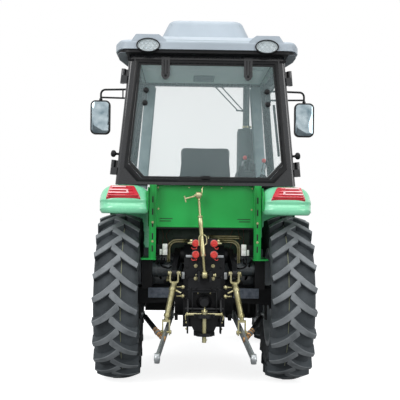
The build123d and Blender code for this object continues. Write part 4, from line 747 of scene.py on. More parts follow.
def under_cab():
    """What fills the space between the panel and the axle: the shield, air tanks, relay boxes, hoses and loom."""
    # The shield takes the darkened green, painted shade.
    shield = Batch("rear_shield", SHADED_GREEN)
    shield.box((-352, -40, 962), (352, -30, 1160), 3)
    for i in range(9):
        shield.box((-330 + 80 * i, -46, 970), (-322 + 80 * i, -40, 1150), 2)
    shield.done()
    # The tanks and their blocks take the black paint lightened to grey, a painted highlight.
    tank = Batch("air_tank", TANK_HIGHLIGHT_GREY)
    hoops = Batch("air_tank_straps", STEEL)
    shape = [(20, 0), (52, 6), (62, 18), (64, 30), (64, 172), (62, 184), (52, 196), (20, 202)]
    for x, y, z, straps in ((-418, -40, 842, (-372, -276)), (228, -20, 852, (276, 372))):
        tank.lathe(shape, (x, y, z), OUT, 32)
        for strap in straps:
            hoops.lathe([(64.4, 0), (66.5, 1), (66.5, 17), (64.4, 18)], (strap, y, z), OUT, 32, closed=True)
    tank.box((-190, 70, 870), (190, 90, 962), 6)
    tank.sides = BOTH
    tank.box((165, 30, 700), (466, 60, 1000), 6)
    tank.done()
    hoops.done()
    white = Batch("relay_boxes", WHITE_PLASTIC)
    for side, x, z in ((-1, -294, 1000), (1, 291, 1000)):
        white.box((x - 19, -316, z - 42), (x + 19, -286, z + 42), 5)
        white.box((x - 15, -320, z - 32), (x + 15, -315, z - 4), 2)
        white.box((x - 15, -320, z + 4), (x + 15, -315, z + 30), 2)
        white.box((x + side * 31 - 8, -312, z - 40), (x + side * 31 + 8, -292, z + 2), 3)
    white.done()
    dark = Batch("loom_and_brackets", PLASTIC, sides=BOTH)
    dark.box((268, -286, 962), (362, -280, 1036), 3)
    dark.box((302, -284, 948), (362, -120, 960), 3)
    dark.tube([(300, -104, 926), (306, -110, 890), (340, -60, 876), (392, -20, 900), (400, 0, 960)], 7, 8)
    dark.tube([(322, -100, 930), (332, -120, 866), (262, -130, 846), (236, -60, 880)], 6, 8)
    dark.tube([(410, -60, 1000), (404, -120, 940), (352, -112, 902), (350, -40, 820), (330, 20, 760)], 8, 8)
    dark.tube([(372, -300, 1080), (364, -306, 1010), (352, -240, 960), (320, -110, 950)], 4, 8)
    dark.done()
    wires = Batch("thin_wires", WIRE)
    for x, z, dx in ((-330, 1160, 20), (-240, 1160, -60), (228, 1160, -28), (262, 1150, 14), (300, 1160, 8)):
        hang = [(x, -60, z), (x + dx, -68, z - 60), (x + dx * 0.4, -66, z - 120), (x + dx * 1.6, -60, z - 190)]
        wires.tube(hang, 1.8, 6)
    wires.done()


def hydraulics():
    """The yellow pipes from the couplers, and the couplers' red caps on their straps."""
    pipes = Batch("hydraulic_pipe_runs", ZINC, sides=BOTH)
    nuts = Batch("hydraulic_pipe_nuts", ZINC, sides=BOTH)
    union = [(11, 0), (13, 2), (13, 16), (9, 18)]
    for z, near, x in ((1066, 106, 276), (1050, 122, 262)):
        pipes.tube([(90.5, -360, z), (near, -360, z), (near, -66, z), (x, -66, z), (x, -66, 746)], 7, 12, 8)
        nuts.lathe(union, (90.5, -360, z), OUT, 6)
        nuts.lathe(union, (x, -66, 748), UP, 6)
    pipes.sides = ONCE
    for z, near, y in ((1098, 26, -80), (1082, 44, -66)):
        run = [(near, -352, 1070), (near, -330, z), (near, y, z), (282, y, z), (300, 10, z - 20), (300, 40, 990)]
        pipes.tube(run, 7, 12, 8)
    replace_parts(pipes.done(), "hydraulic_pipes")
    nuts.done()
    caps = Batch("coupler_caps", RED_CAP)
    rims = Batch("coupler_sleeves", STEEL)
    dome = [(25, 0), (26, 3), (26, 34), (24, 40), (18, 44), (17, 40), (9, 40), (8, 43), (0.2, 44)]
    for hang, x in ((-1, -67), (1, 67)):
        for z in (968, 1050):
            caps.lathe(dome, (x, -376, z), BACK, 28)
            for turn in range(12):
                angle = pi * turn / 6
                grip_x, grip_z = x + 26 * cos(angle), z + 26 * sin(angle)
                caps.rod((grip_x, -394, grip_z), (grip_x, -412, grip_z), 2.2, 6)
            rims.lathe([(28, 0), (28, 8), (26, 9)], (x, -375.2, z), BACK, 28)
            strap = [(x, -402, z - 25), (x + 10, -404, z - 38), (x + 26 * hang, -400, z - 42)]
            caps.tube(strap + [(x + 30 * hang, -384, z - 30)], 3, 8)
    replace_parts(caps.done(), "couplers")
    rims.done()


def top_link_detail():
    """The stowed top link: threaded ends, turning sleeve with its bail, eyes, and the crank on its upper pin."""
    base, lean, side = Vector((0, -420, 820)), radians(4), radians(5)
    along = Vector((-sin(side), sin(lean) * cos(side), cos(lean) * cos(side)))
    link = Batch("top_link_screws", ZINC, "top_link")
    stem = [(7, 18), (9.5, 22), (9.5, 128), (12, 132), (16, 150), (17, 160), (17, 215), (15.5, 222), (15.5, 360)]
    stem += [(17, 368), (17, 412), (14, 418), (10, 424), (9, 430), (9, 560)]
    link.lathe(stem, base, along, 28)
    for place in (138, 420):
        link.lathe([(17, 0), (19, 2), (19, 12), (17, 14)], base + along * place, along, 6)
    for turn in range(26):
        link.lathe([(9.2, 0), (10.4, 1.2), (9.2, 2.4)], base + along * (24 + 4 * turn), along, 16, closed=True)
        link.lathe([(9.2, 0), (10.2, 1.2), (9.2, 2.4)], base + along * (432 + 4.6 * turn), along, 16, closed=True)
    tip = base + along * 585
    for point, bore in ((base, 9.9), (tip, 10.1)):
        eye = [(bore, -21), (19, -21), (25, -15), (26, 0), (25, 15), (19, 21), (bore, 21)]
        link.lathe(eye, point, OUT, 28, closed=True)

    def near(middle, points):
        return [middle + Vector(point) for point in points]

    link.tube(near(tip, [(-20, 0, -4), (-52, -6, -14), (-98, -10, -26)]), 6.5, 10)
    link.tube(near(tip, [(-104, -10, -6), (-98, -10, -26), (-92, -12, -52)]), 5, 10, 4)
    link.rod(*near(tip, [(-30, 0, -2), (26, 0, 2)]), 9.2)
    link.tube(near(tip, [(18, -3, -8), (26, -4, 20), (24, -2, 48), (32, 10, 62)]), 3.5, 8)
    bail = [(-22, -12, -34), (-24, -14, 34), (4, -20, 50), (32, -14, 34), (34, -12, -20), (12, -14, -36)]
    link.tube(near(base + along * 250, bail), 4, 8, 5)
    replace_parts(link.done(), "top_link")


def lift_detail():
    """Bolts, covers and pins of the lift's castings, the hitch's pin and the axle's rear faces."""
    zinc = Batch("linkage_pins", ZINC, sides=BOTH)
    black = Batch("lift_casting_details", CAST, sides=BOTH)
    zinc.bolt((64, -336, 790), BACK, 11)
    zinc.bolt((64, -302, 880), BACK, 11)
    for z in (727, 660):
        zinc.lathe([(8, -15), (14, -9), (16.5, 0), (14, 9), (6, 14)], (157, -345, z), OUT, 20)
        zinc.rod((160, -345, z), (204, -345, z), 5.5)
        black.box((150, -352, z - 16), (166, -298, z + 16), 4)
    for x, z in ((126, 872), (126, 796), (100, 716), (60, 716), (118, 480), (128, 640)):
        black.bolt((x, -336 if z < 850 else -301, z), BACK, 10)
    zinc.bolt((46, -337, 682), BACK, 6, False)
    black.lathe([(60, 0), (60, 6), (44, 12), (44, 18), (38, 20)], (175, LIFT_Y, LIFT_Z), OUT, 36)
    for i in range(6):
        turn = pi * i / 3
        black.bolt((176, LIFT_Y + 52 * cos(turn), LIFT_Z + 52 * sin(turn)), OUT, 5, False)
    for i in range(10):
        turn = 2 * pi * (i + 0.5) / 10
        black.bolt((157, 138 * cos(turn), 630 + 138 * sin(turn)), OUT, 9)
    black.box((84, -425, 560), (90, -330, 700), 3)
    zinc.lathe([(15, 0), (15, 7), (10, 9)], (121, -462, 541), OUT, 20)
    zinc.tube([(128, -462, 548), (138, -466, 528), (134, -470, 500)], 2.4, 6)
    for z in (470, 425):
        zinc.bolt((126, -372, z), OUT, 8)
    zinc.sides = black.sides = ONCE
    zinc.rod((-66, -420, 820), (74, -420, 820), 9.3)
    zinc.lathe([(15, 0), (15, 8), (12, 10)], (74, -420, 820), OUT, 20)
    for i in range(5):
        black.box((-150 + 62 * i, -60, 1029), (-144 + 62 * i, 30, 1036), 1.5)
    # Light steel plates on the lift housing's corner and side: painted highlights where light catches the black
    # casting.
    highlight_plates = Batch("housing_painted_highlights", SILVER_STEEL, sides=BOTH)
    highlight_plates.box((88, -378, 946), (138, -372, 964), 2)
    highlight_plates.box((146, -341, 786), (168, -300, 836), 4)
    highlight_plates.done()
    # The axle's rear faces take the casting lightened to blue-grey, a painted highlight.
    highlight_faces = Batch("axle_rear_faces", CASTING_HIGHLIGHT, sides=BOTH)
    highlight_faces.box((226, -158, 628), (420, -146, 704), 5)
    for x in (250, 300, 350, 400):
        highlight_faces.bolt((x, -158, 666), BACK, 7, False)
    highlight_faces.done()
    black.prism([(-128, 700), (128, 700), (128, 712), (-128, 712)], 5, "y", -340, 1.5)
    black.lathe([(58, 0), (58, 6), (46, 10), (42, 26), (34, 30), (34, 42)], (0, -335, 620), BACK, 36)
    black.box((-90, -425, 694), (90, -330, 700), 3)
    zinc.rod((-124, -462, 541), (124, -462, 541), 9.5)
    zinc.rod((0, -485.3, 341), (0, -485.3, 566), 15.4, 24)
    zinc.lathe([(23, 0), (23, 12), (18, 16), (0.2, 17)], (0, -485.3, 560), UP, 24)
    zinc.tube([(0, -490, 574), (0, -505, 596), (0, -530, 590), (0, -540, 566)], 4.5, 8)
    zinc.tube([(-12, -485, 352), (0, -500, 346), (14, -485, 352), (22, -480, 366)], 2.5, 6)
    zinc.done()
    black.done()


def link_arms():
    """Screws and pins of the lift rods, the lower links' balls, and the stabilisers."""
    raised, drop = radians(22), radians(13.56)
    for side, hand in HANDS:
        lift_rod(side, hand, LIFT_Y - 320 * cos(raised), LIFT_Z - 320 * sin(raised), drop)
        link = Batch(f"lower_link_{hand}_ball", SILVER_STEEL, f"lower_link_{hand}")
        end = Vector((side * 325, LINK_Y - LINK_LENGTH * cos(drop), LINK_Z - LINK_LENGTH * sin(drop)))
        collar = [(24, -18.5), (32, -17.5), (35.5, -12), (36.2, 0), (35.5, 12), (32, 17.5), (24, 18.5)]
        link.lathe(collar, end, OUT, 36, closed=True)
        ball = [(25 * cos(a / 10), 25 * sin(a / 10)) for a in range(-8, 9)]
        link.lathe([(11.4, -21), (16, -21)] + ball + [(16, 21), (11.4, 21)], end, OUT, 32, closed=True)
        link.done()
        stay = Batch(f"stabiliser_{hand}_sleeve", BLACK, f"lower_link_{hand}")
        brass = Batch(f"stabiliser_{hand}_fittings", COPPER, f"lower_link_{hand}")
        hinge, reach = Vector((side * 460, LINK_Y, LINK_Z)), 0.61 * LINK_LENGTH
        joint = Vector((side * (238 + 0.61 * 87), LINK_Y - reach * cos(drop), LINK_Z - reach * sin(drop)))
        run = joint - hinge
        length, run = run.length, run.normalized()
        sleeve = [(13, 0), (19, 4), (19, length * 0.5), (14, length * 0.5 + 5)]
        stay.lathe(sleeve, hinge + run * length * 0.1, run, 24)
        for share, size, width in ((0.62, 21, 16), (0.7, 23, 22), (0.79, 20, 14), (0.86, 17, 30)):
            nut = [(size - 3, 0), (size, 2), (size, width - 2), (size - 3, width)]
            brass.lathe(nut, hinge + run * length * share, run, 6 if width < 20 else 20)
        brass.lathe([(12, -16), (20, -14), (20, 14), (12, 16)], joint + Vector((0, 0, 6)), (side, 0, 0), 20)
        for batch in (stay, brass):
            batch.done()
    tip = Batch("lift_arm_bosses", CAST, "lift_arms", BOTH)
    tip.lathe([(52, 0), (52, 4), (40, 9), (30, 10)], (218, LIFT_Y, LIFT_Z), OUT, 36)
    tip.bolt((226, LIFT_Y, LIFT_Z), OUT, 18)
    tip.done()


def lift_rod(side, hand, tip_y, tip_z, drop):
    """One lift rod's turnbuckle and pins, from the lift arm's tip down to the lower link."""
    down = 370
    x, pin_y, pin_z = 238 + down / LINK_LENGTH * 87, LINK_Y - down * cos(drop), LINK_Z - down * sin(drop)
    rod = Batch(f"lift_rod_{hand}_screws", ZINC, f"lift_rod_{hand}")
    top, base = Vector((side * 222, tip_y, tip_z - 66)), Vector((side * x, pin_y, pin_z + 90))
    along = base - top
    length, along = along.length, along.normalized()
    sleeve = [(15, 0), (22, 4), (22, 20), (20, 26), (20.5, length * 0.2), (20.5, length * 0.84)]
    sleeve += [(25, length * 0.86), (25, length * 0.92), (17, length * 0.94), (16, length)]
    rod.lathe(sleeve, top, along, 28)
    for i in range(10):
        rod.lathe([(20.3, 0), (22.2, 2), (20.3, 4)], top + along * (length * 0.3 + 9 * i), along, 22, closed=True)
    rod.lathe([(25, 0), (28, 2), (28, 14), (25, 16)], top + along * length * 0.17, along, 6)
    nipple = [(4, 0), (4, 8), (2.5, 12), (3.4, 15), (0.2, 17)]
    rod.lathe(nipple, top + along * length * 0.5 + Vector((0, -20, 0)), (0, -1, 0.2), 10)
    handle = top + along * 60 + Vector((side * -22, 0, 0)), top + along * 75 + Vector((side * -66, -4, -4))
    rod.tube(handle, 6, 10)
    for out in (-1, 1):
        rod.lathe([(16, 0), (16, 5), (12, 9), (11, 9)], (side * 222 + out * 38, tip_y, tip_z), (out, 0, 0), 24)
    clip = [(44, 0, 12), (46, -12, -14), (44, 0, -26)]
    rod.tube([(side * 222 + dx, tip_y + dy, tip_z + dz) for dx, dy, dz in clip], 2.5, 6)
    rod.rod((side * x - 36, pin_y, pin_z), (side * x + 36, pin_y, pin_z), 10.6, 20)
    for out in (-1, 1):
        rod.lathe([(15, 0), (15, 6), (11, 9)], (side * x + out * 31, pin_y, pin_z), (out, 0, 0), 20)
    rod.done()


def cab_outside():
    """The rear window's rim, the mirrors' glass and shells, and the door knobs."""
    rim = Batch("rear_window_rim", BLACK)
    rim.ring(window_outline(-26), window_outline(-1), "y", CAB_REAR_Y - 7, 7.5, 3.0)
    rim.done()
    glass_y = slope_point(0, 2340)[1] - 2
    faces = Batch("mirror_glass", MIRROR)
    for side in BOTH:
        faces.prism(rounded(76, 140, 34, 5, side * 912, 2120), 2.5, "y", glass_y - 2.2, 0.8)
    faces.done()
    plastic = Batch("mirror_shells", PLASTIC, sides=BOTH)
    shell, mouth = rounded(88, 151.5, 44, 6, 912, 2120), rounded(78, 142, 35, 6, 912, 2120)
    plastic.ring(shell, mouth, "y", glass_y - 4, 6, 1.5)
    plastic.rod((912, glass_y + 22, 2268), (912, glass_y + 22, 2290), 15)
    for z in (2371, 2290):
        plastic.bolt((608, 962, z), (1, 0.2, 0), 6, False)
    knob = [(10, 0), (13, 4), (22, 9), (26, 18), (25, 30), (18, 38), (8, 41), (0.2, 41.5)]
    plastic.rod((636, CAB_REAR_Y + 40, 1700), (668, CAB_REAR_Y + 40, 1702), 9)
    plastic.lathe(knob, (660, CAB_REAR_Y + 40, 1701), (1, 0, 0.1), 24)
    plastic.done()


def rounded(half_w, half_h, corner, steps, x=0, z=0):
    """A rectangle with round corners, as (x, z) points about a middle."""
    points = []
    for turn, (sx, sz) in enumerate(((1, 1), (-1, 1), (-1, -1), (1, -1))):
        for i in range(steps + 1):
            angle = pi / 2 * (turn + i / steps)
            across = sx * (half_w - corner) + corner * cos(angle)
            points.append((x + across, z + sz * (half_h - corner) + corner * sin(angle)))
    return points


def cab_inside():
    """What shows through the glass: pillar trims, floor mat with pedals, console with levers, wheel and seat."""
    trim = Batch("pillar_trims", TRIM, sides=BOTH)
    line = [(586, 1380), (500, 1380), (424, 2400), (512, 2412)]
    for start, depth in ((925, 26), (1010, 20)):
        trim.prism([(x - (start - 925) * 0.05, z) for x, z in line], depth, "y", start, 8)
    trim.prism([(590, 1420), (632, 1420), (548, 2400), (512, 2400)], 22, "y", -290, 6)
    trim.done()
    floor = Batch("floor_mat", PLASTIC)
    floor.box((-395, 372, 951), (395, 850, 958), 3)
    for i in range(18):
        floor.box((-380, 384 + 25 * i, 957), (380, 392 + 25 * i, 961), 1.5)
    floor.box((-395, -290, 1166), (395, 350, 1172), 3)
    for x in (-120, 110, 190):
        floor.box((x - 32, 800, 1040), (x + 32, 812, 1130), 5)
        floor.tube([(x, 812, 1090), (x, 850, 1110), (x, 862, 1200)], 8, 8)
    floor.done()
    console = Batch("console_lids", PLASTIC)
    console.prism([(-70, 1521), (430, 1521), (420, 1560), (300, 1590), (60, 1612), (-50, 1600)], 140, "x", 255, 9)
    console.box((410, -60, 1470), (520, 300, 1560), 14)
    boot = [(24, 0), (20, 10), (15, 14), (17, 22), (11, 28), (7, 34)]
    for x, y, _ in LEVERS:
        console.lathe(boot, (x, y, 1600 if x < 400 else 1550), (0, -0.1, 1), 20)
    console.box((262, -62, 1560), (300, -20, 1640), 6)
    console.box((352, -40, 1590), (392, 30, 1660), 7)
    console.done()
    levers = Batch("console_levers", CHROME)
    for x, y, z in LEVERS:
        levers.tube([(x, y, 1600), (x + 4, y - 8, z - 40), (x + 14, y - 20, z)], 5, 10)
    levers.done()
    reds = Batch("lever_knobs_red", RED_CAP)
    blacks = Batch("lever_knobs", PLASTIC)
    ball = [(6, -16), (12, -13), (16, -4), (16.5, 4), (13, 12), (6, 16.5), (0.2, 17)]
    for i, (x, y, z) in enumerate(LEVERS):
        (reds if i in (0, 4) else blacks).lathe(ball, (x + 14, y - 20, z + 8), (0.1, -0.1, 1), 20)
    reds.done()
    blacks.done()
    wheel_grip()
    cushions()


def wheel_grip():
    """The steering wheel's moulded rim, with finger waves round it, and its hub cap."""
    turn = Matrix.Translation((0, 700, 1560)) @ Matrix.Rotation(radians(32), 4, "X")
    turn = turn @ Matrix.Translation((0, 0, 21))
    grip = Batch("steering_wheel_grip", PLASTIC, "steering_wheel")
    vertices, faces, around, sides = [], [], 96, 14
    for i in range(around):
        angle = 2 * pi * i / around
        swell = 14.6 + 1.1 * abs(sin(angle * 16))
        for k in range(sides):
            turn_in = 2 * pi * k / sides
            radius = 185 + swell * cos(turn_in)
            vertices.append((radius * cos(angle), radius * sin(angle), swell * sin(turn_in)))
            after, ahead = (k + 1) % sides, (i + 1) % around
            faces.append((i * sides + k, i * sides + after, ahead * sides + after, ahead * sides + k))
    grip.solid(vertices, faces, 0, turn)
    cap = [(37, -16), (37, 10), (30, 20), (12, 23), (0.2, 23)]
    grip.lathe(cap, turn.to_translation(), turn.to_3x3() @ Vector(UP), 32)
    grip.done()


def cushions():
    """The seat's two pads, crowned and pulled in along their seams, on a folded base and a back shell."""
    lean = Matrix.Rotation(radians(10), 4, "X")
    pads = (
        ("seat_pad", (430, 450), 104, Matrix.Translation((0, 145, 1345)), 2),
        ("seat_back_pad", (396, 428), 86,
         Matrix.Translation((0, -135, 1570)) @ lean @ Matrix.Rotation(pi / 2, 4, "X"), 3))
    pieces = []
    for name, size, thick, place, channels in pads:
        data = pad_mesh(size, thick, channels)
        data.transform(place)
        for vertex in data.verts:
            vertex.co = metres(*vertex.co)
        mesh = bpy.data.meshes.new(name)
        data.to_mesh(mesh)
        data.free()
        mesh.materials.append(SEAT)
        pad = settle(mesh, "chassis", 80)
        puff(pad)
        curve_over(pad)
        pieces.append(pad)
    base = Batch("seat_base", PLASTIC)
    for i in range(6):
        fold = 150 - 4 * (i % 2)
        base.box((-fold, -20, 1168 + 20 * i), (fold, 300, 1186 + 20 * i), 5)
    base.box((-190, -60, 1284), (190, 350, 1300), 5)
    shell = [(-180, 1372), (180, 1372), (190, 1560), (170, 1760), (-170, 1760), (-190, 1560)]
    tilt = Matrix.Translation((0, -196, 1566)) @ lean @ Matrix.Translation((0, 196, -1566))
    base.prism(shell, 14, "y", -196, 6, tilt)
    base.sides = BOTH
    base.tube([(200, 250, 1300), (206, 0, 1300), (206, -100, 1340), (190, -150, 1480)], 12, 10)
    pieces.append(base.done())
    for piece in pieces:
        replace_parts(piece, "seat")


def pad_mesh(size, thick, channels, steps=30):
    """A pillow of two grids joined at their edge, in millimetres about its middle."""
    data, grid = bmesh.new(), {}
    for face in (1, -1):
        for i in range(steps + 1):
            for k in range(steps + 1):
                u, v = 2 * i / steps - 1, 2 * k / steps - 1
                if face < 0 and (i in (0, steps) or k in (0, steps)):
                    grid[face, i, k] = grid[1, i, k]
                    continue
                corner = 0.1 * abs(u * v) ** 8
                x = u * size[0] / 2 * (1 - 0.035 * (1 - v * v) * abs(u) ** 6 - corner)
                y = v * size[1] / 2 * (1 - 0.03 * (1 - u * u) * abs(v) ** 6 - corner)
                full = ((1 - abs(u) ** 5) * (1 - abs(v) ** 5)) ** 0.34
                crown = full * thick / 2
                if face > 0:
                    for line in range(channels):
                        gap = v - (-0.5 + line / max(channels - 1, 1)) * 0.9
                        crown -= 7 * notch(gap / 0.045) * full
                    crown -= 8 * notch((abs(u) - 0.66) / 0.05) * full
                    crown += 5 * full * notch((abs(u) - 0.84) / 0.16)
                grid[face, i, k] = data.verts.new((x, y, face * max(crown, 0)))
    for face in (1, -1):
        for i in range(steps):
            for k in range(steps):
                corners = [grid[face, i, k], grid[face, i + 1, k], grid[face, i + 1, k + 1], grid[face, i, k + 1]]
                data.faces.new(corners if face > 0 else corners[::-1])
    bmesh.ops.recalc_face_normals(data, faces=data.faces)
    return data


def puff(pad, cap=0.008, frames=12):
    """Lets a pad swell as sewn cloth does, then keeps the swollen form."""
    scene = bpy.context.scene
    cloth = pad.modifiers.new("cloth", "CLOTH")
    cloth.settings.quality = 5
    cloth.settings.use_pressure = True
    cloth.settings.uniform_pressure_force = 4.0
    cloth.settings.effector_weights.gravity = 0
    cloth.settings.tension_stiffness = cloth.settings.compression_stiffness = 30
    cloth.point_cache.frame_start, cloth.point_cache.frame_end = 1, frames
    for step in range(1, frames + 1):
        scene.frame_set(step)
    swollen = pad.evaluated_get(bpy.context.evaluated_depsgraph_get()).to_mesh()
    places = [vertex.co.copy() for vertex in swollen.vertices]
    pad.modifiers.remove(cloth)
    for vertex, place in zip(pad.data.vertices, places):
        move = place - vertex.co
        if move.length > cap:
            move *= cap / move.length
        vertex.co += move
    scene.frame_set(1)


def notch(x):
    """One in the middle of a seam, and nothing a width away from it."""
    return 1 / (1 + x**4)


def touch(node, start, toward):
    """Where a line from a point first meets a node's surface, in millimetres."""
    if node not in SKINS:
        data = NODES[node].data
        faces = [tuple(face.vertices) for face in data.polygons]
        SKINS[node] = BVHTree.FromPolygons([vertex.co for vertex in data.vertices], faces)
    hit = SKINS[node].ray_cast(metres(*start), Vector(toward))[0]
    return millimetres(hit) if hit else None


def seam(batch, node, starts, toward, radius=2.2):
    """A fine line laid on a surface."""
    points = [point for point in (touch(node, start, toward) for start in starts) if point]
    if len(points) > 1:
        batch.tube(points, radius, 6, 1)


def hood_details():
    """The hood's panel lines, side and front grilles, latches and headlamps."""
    lines = Batch("hood_seams", SEAL, "hood")
    for side in BOTH:
        inward = (-side, 0, 0)
        seam(lines, "hood_shell", [(side * 600, y, 972) for y in range(1190, 2636, 30)], inward)
        seam(lines, "hood_shell", [(side * 600, 1470, z) for z in range(975, 1384, 12)], inward)
        seam(lines, "hood_shell", [(side * 600, 2240, z) for z in range(908, 1290, 12)], inward)
    seam(lines, "hood_shell", [(x, 2240, 1700) for x in range(-300, 301, 20)], DOWN)
    lines.box((-250, 2596, 926), (250, 2602, 1074), 1)
    for i in range(35):
        lines.box((-246 + 14.4 * i, 2609, 928), (-243 + 14.4 * i, 2614, 1072), 0.8)
    for i in range(9):
        lines.box((-248, 2611, 936 + 16 * i), (248, 2616, 939 + 16 * i), 0.8)
    lines.sides = BOTH
    lines.box((297, 1192, 901), (303, 2620, 912), 2)
    lines.box((268, 1496, 996), (274, 2110, 1144), 2)
    for i in range(40):
        lines.box((273, 1506 + 15 * i, 1000), (279, 1510 + 15 * i, 1140), 0.6)
    lines.done()
    latches = Batch("hood_latches", PLASTIC, "hood", BOTH)
    for y in (1330, 2150):
        latches.lathe([(24, -1), (24, 3), (18, 6), (12, 7), (0.2, 7.5)], (300, y, 940), OUT, 28)
        latches.box((303, y - 20, 935), (313, y + 20, 945), 3)
    latches.done()
    bezels = Batch("headlamp_bezels", PLASTIC, "hood", BOTH)
    cups = Batch("headlamp_reflectors", CUP, "hood", BOTH)
    lens = Batch("headlamp_lenses", CLEAR, "hood", BOTH)
    x, z = 180, 1030
    inner = rounded(57, 26, 21, 6, x, z)
    bezels.ring(rounded(65, 33, 28, 6, x, z), inner, "y", 2636.5, 21, 3)
    bezels.prism(inner, 3, "y", 2637, 0.4)
    bowl = [(24, 14), (25, 14), (23, 6), (14, 1.5), (5, 1), (4.5, 6), (3, 8), (0.2, 8.5)]
    for shift in (-27, 27):
        cups.lathe(bowl, (x + shift, 2639, z), AHEAD, 28)
    lens.prism(inner, 3.4, "y", 2652, 1)
    for i in range(7):
        rib = x - 42 + 14 * i
        lens.box((rib - 1, 2649.5, z - 24), (rib + 1, 2652.5, z + 24), 0.5)
    for batch in (bezels, cups, lens):
        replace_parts(batch.done(), "headlamps")


def engine_details():
    """What shows under the open hood: injectors, manifold, air filter, pump, fan, filters, hoses and pipes."""
    dark = Batch("engine_castings", CAST)
    dark.box((-252, 1480, 826), (-190, 1700, 912), 10)
    for i in range(4):
        dark.lathe([(16, 0), (16, 20), (9, 24), (9, 40), (0.2, 41)], (-222, 1510 + 50 * i, 912), UP, 20)
        dark.box((190, 1270 + 150 * i, 985), (232, 1380 + 150 * i, 1035), 12)
    dark.box((196, 1262, 990), (244, 1840, 1030), 16)
    dark.lathe([(20, 0), (62, 4), (64, 20), (64, 92), (58, 100), (30, 112)], (-228, 1770, 960), AHEAD, 32)
    dark.lathe([(60, 0), (84, 6), (88, 20), (88, 270), (80, 286), (40, 292)], (0, 1290, 1210), AHEAD, 40)
    pulley = [(74, 0), (74, 8), (60, 12), (60, 26), (74, 30), (74, 40), (20, 46)]
    dark.lathe(pulley, (0, 1880, 850), AHEAD, 36)
    dark.box((-120, 1260, 1088), (120, 1820, 1112), 10)
    for i in range(6):
        blade = Matrix.Translation((0, 1990, 1000)) @ Matrix.Rotation(pi * i / 3, 4, "Y")
        blade = blade @ Matrix.Rotation(0.45, 4, "Z")
        dark.box((-34, -4, 40), (34, 4, 178), 3, blade)
    dark.lathe([(48, 0), (52, 6), (52, 30), (30, 36)], (0, 1972, 1000), AHEAD, 28)
    dark.rod((0, 1880, 1000), (0, 1980, 1000), 16)
    dark.done()
    filters = Batch("engine_filters", WHITE_PLASTIC)
    canister = [(30, 0), (40, 8), (42, 14), (42, 120), (38, 126), (0.2, 127)]
    for y in (1560, 1668):
        filters.lathe(canister, (238, y, 960), DOWN, 32)
    filters.done()
    hoses = Batch("engine_hoses", SEAL)
    hoses.tube([(60, 1850, 1080), (60, 1900, 1150), (60, 2040, 1160), (60, 2084, 1160)], 22, 16)
    hoses.tube([(-120, 1878, 830), (-150, 1960, 836), (-150, 2084, 850)], 20, 16)
    hoses.tube([(0, 1580, 1210), (60, 1640, 1210), (90, 1660, 1100)], 32, 18)
    hoses.tube([(238, 1560, 964), (238, 1590, 1000), (238, 1640, 1000), (238, 1668, 964)], 7, 10)
    hoses.done()
    pipes = Batch("injection_pipes", ZINC)
    for i in range(4):
        head_y = 1400 + 120 * i
        run = [(-222, 1510 + 50 * i, 950), (-222, 1506 + 52 * i, 1010), (-150, head_y, 1120), (-110, head_y, 1108)]
        pipes.tube(run, 3.2, 8)
    pipes.done()


def exhaust_details():
    """The exhaust's slotted guard, its bands with their clamps and its stay."""
    x, y = 412, 1262
    guard = Batch("exhaust_guard", BLACK)
    for i in range(13):
        turn = Matrix.Translation((x, y, 0)) @ Matrix.Rotation(radians(-160 + 22 * i), 4, "Z")
        guard.box((-7, 81, 1352), (7, 83.4, 2038), 0.8, turn)
    for z in (1352, 1520, 1690, 1860, 2024):
        guard.lathe([(79.5, 0), (82.5, 1), (82.5, 15), (79.5, 16)], (x, y, z), UP, 40, closed=True)
    for z in (1330, 2046):
        guard.lathe([(75.5, 0), (78, 2), (78, 12), (75.5, 14)], (x, y, z), UP, 40, closed=True)
    guard.done()
    bands = Batch("exhaust_clamps", ZINC)
    for z in (1306, 2072):
        bands.lathe([(31.5, 0), (35, 1.5), (35, 18.5), (31.5, 20)], (x, y, z), UP, 28, closed=True)
        bands.box((x + 30, y - 7, z), (x + 50, y + 7, z + 20), 2)
        bands.bolt((x + 42, y - 7, z + 10), BACK, 6)
    bands.done()
    stay = Batch("exhaust_stay", BLACK)
    stay.box((320, y - 16, 1560), (336, y + 16, 1566), 1)
    stay.box((x - 84, y - 30, 1340), (x - 72, y + 30, 1400), 3)
    stay.tube([(x - 74, y, 1372), (330, 1230, 1360), (284, 1196, 1300), (280, 1190, 1240)], 9, 10)
    stay.done()


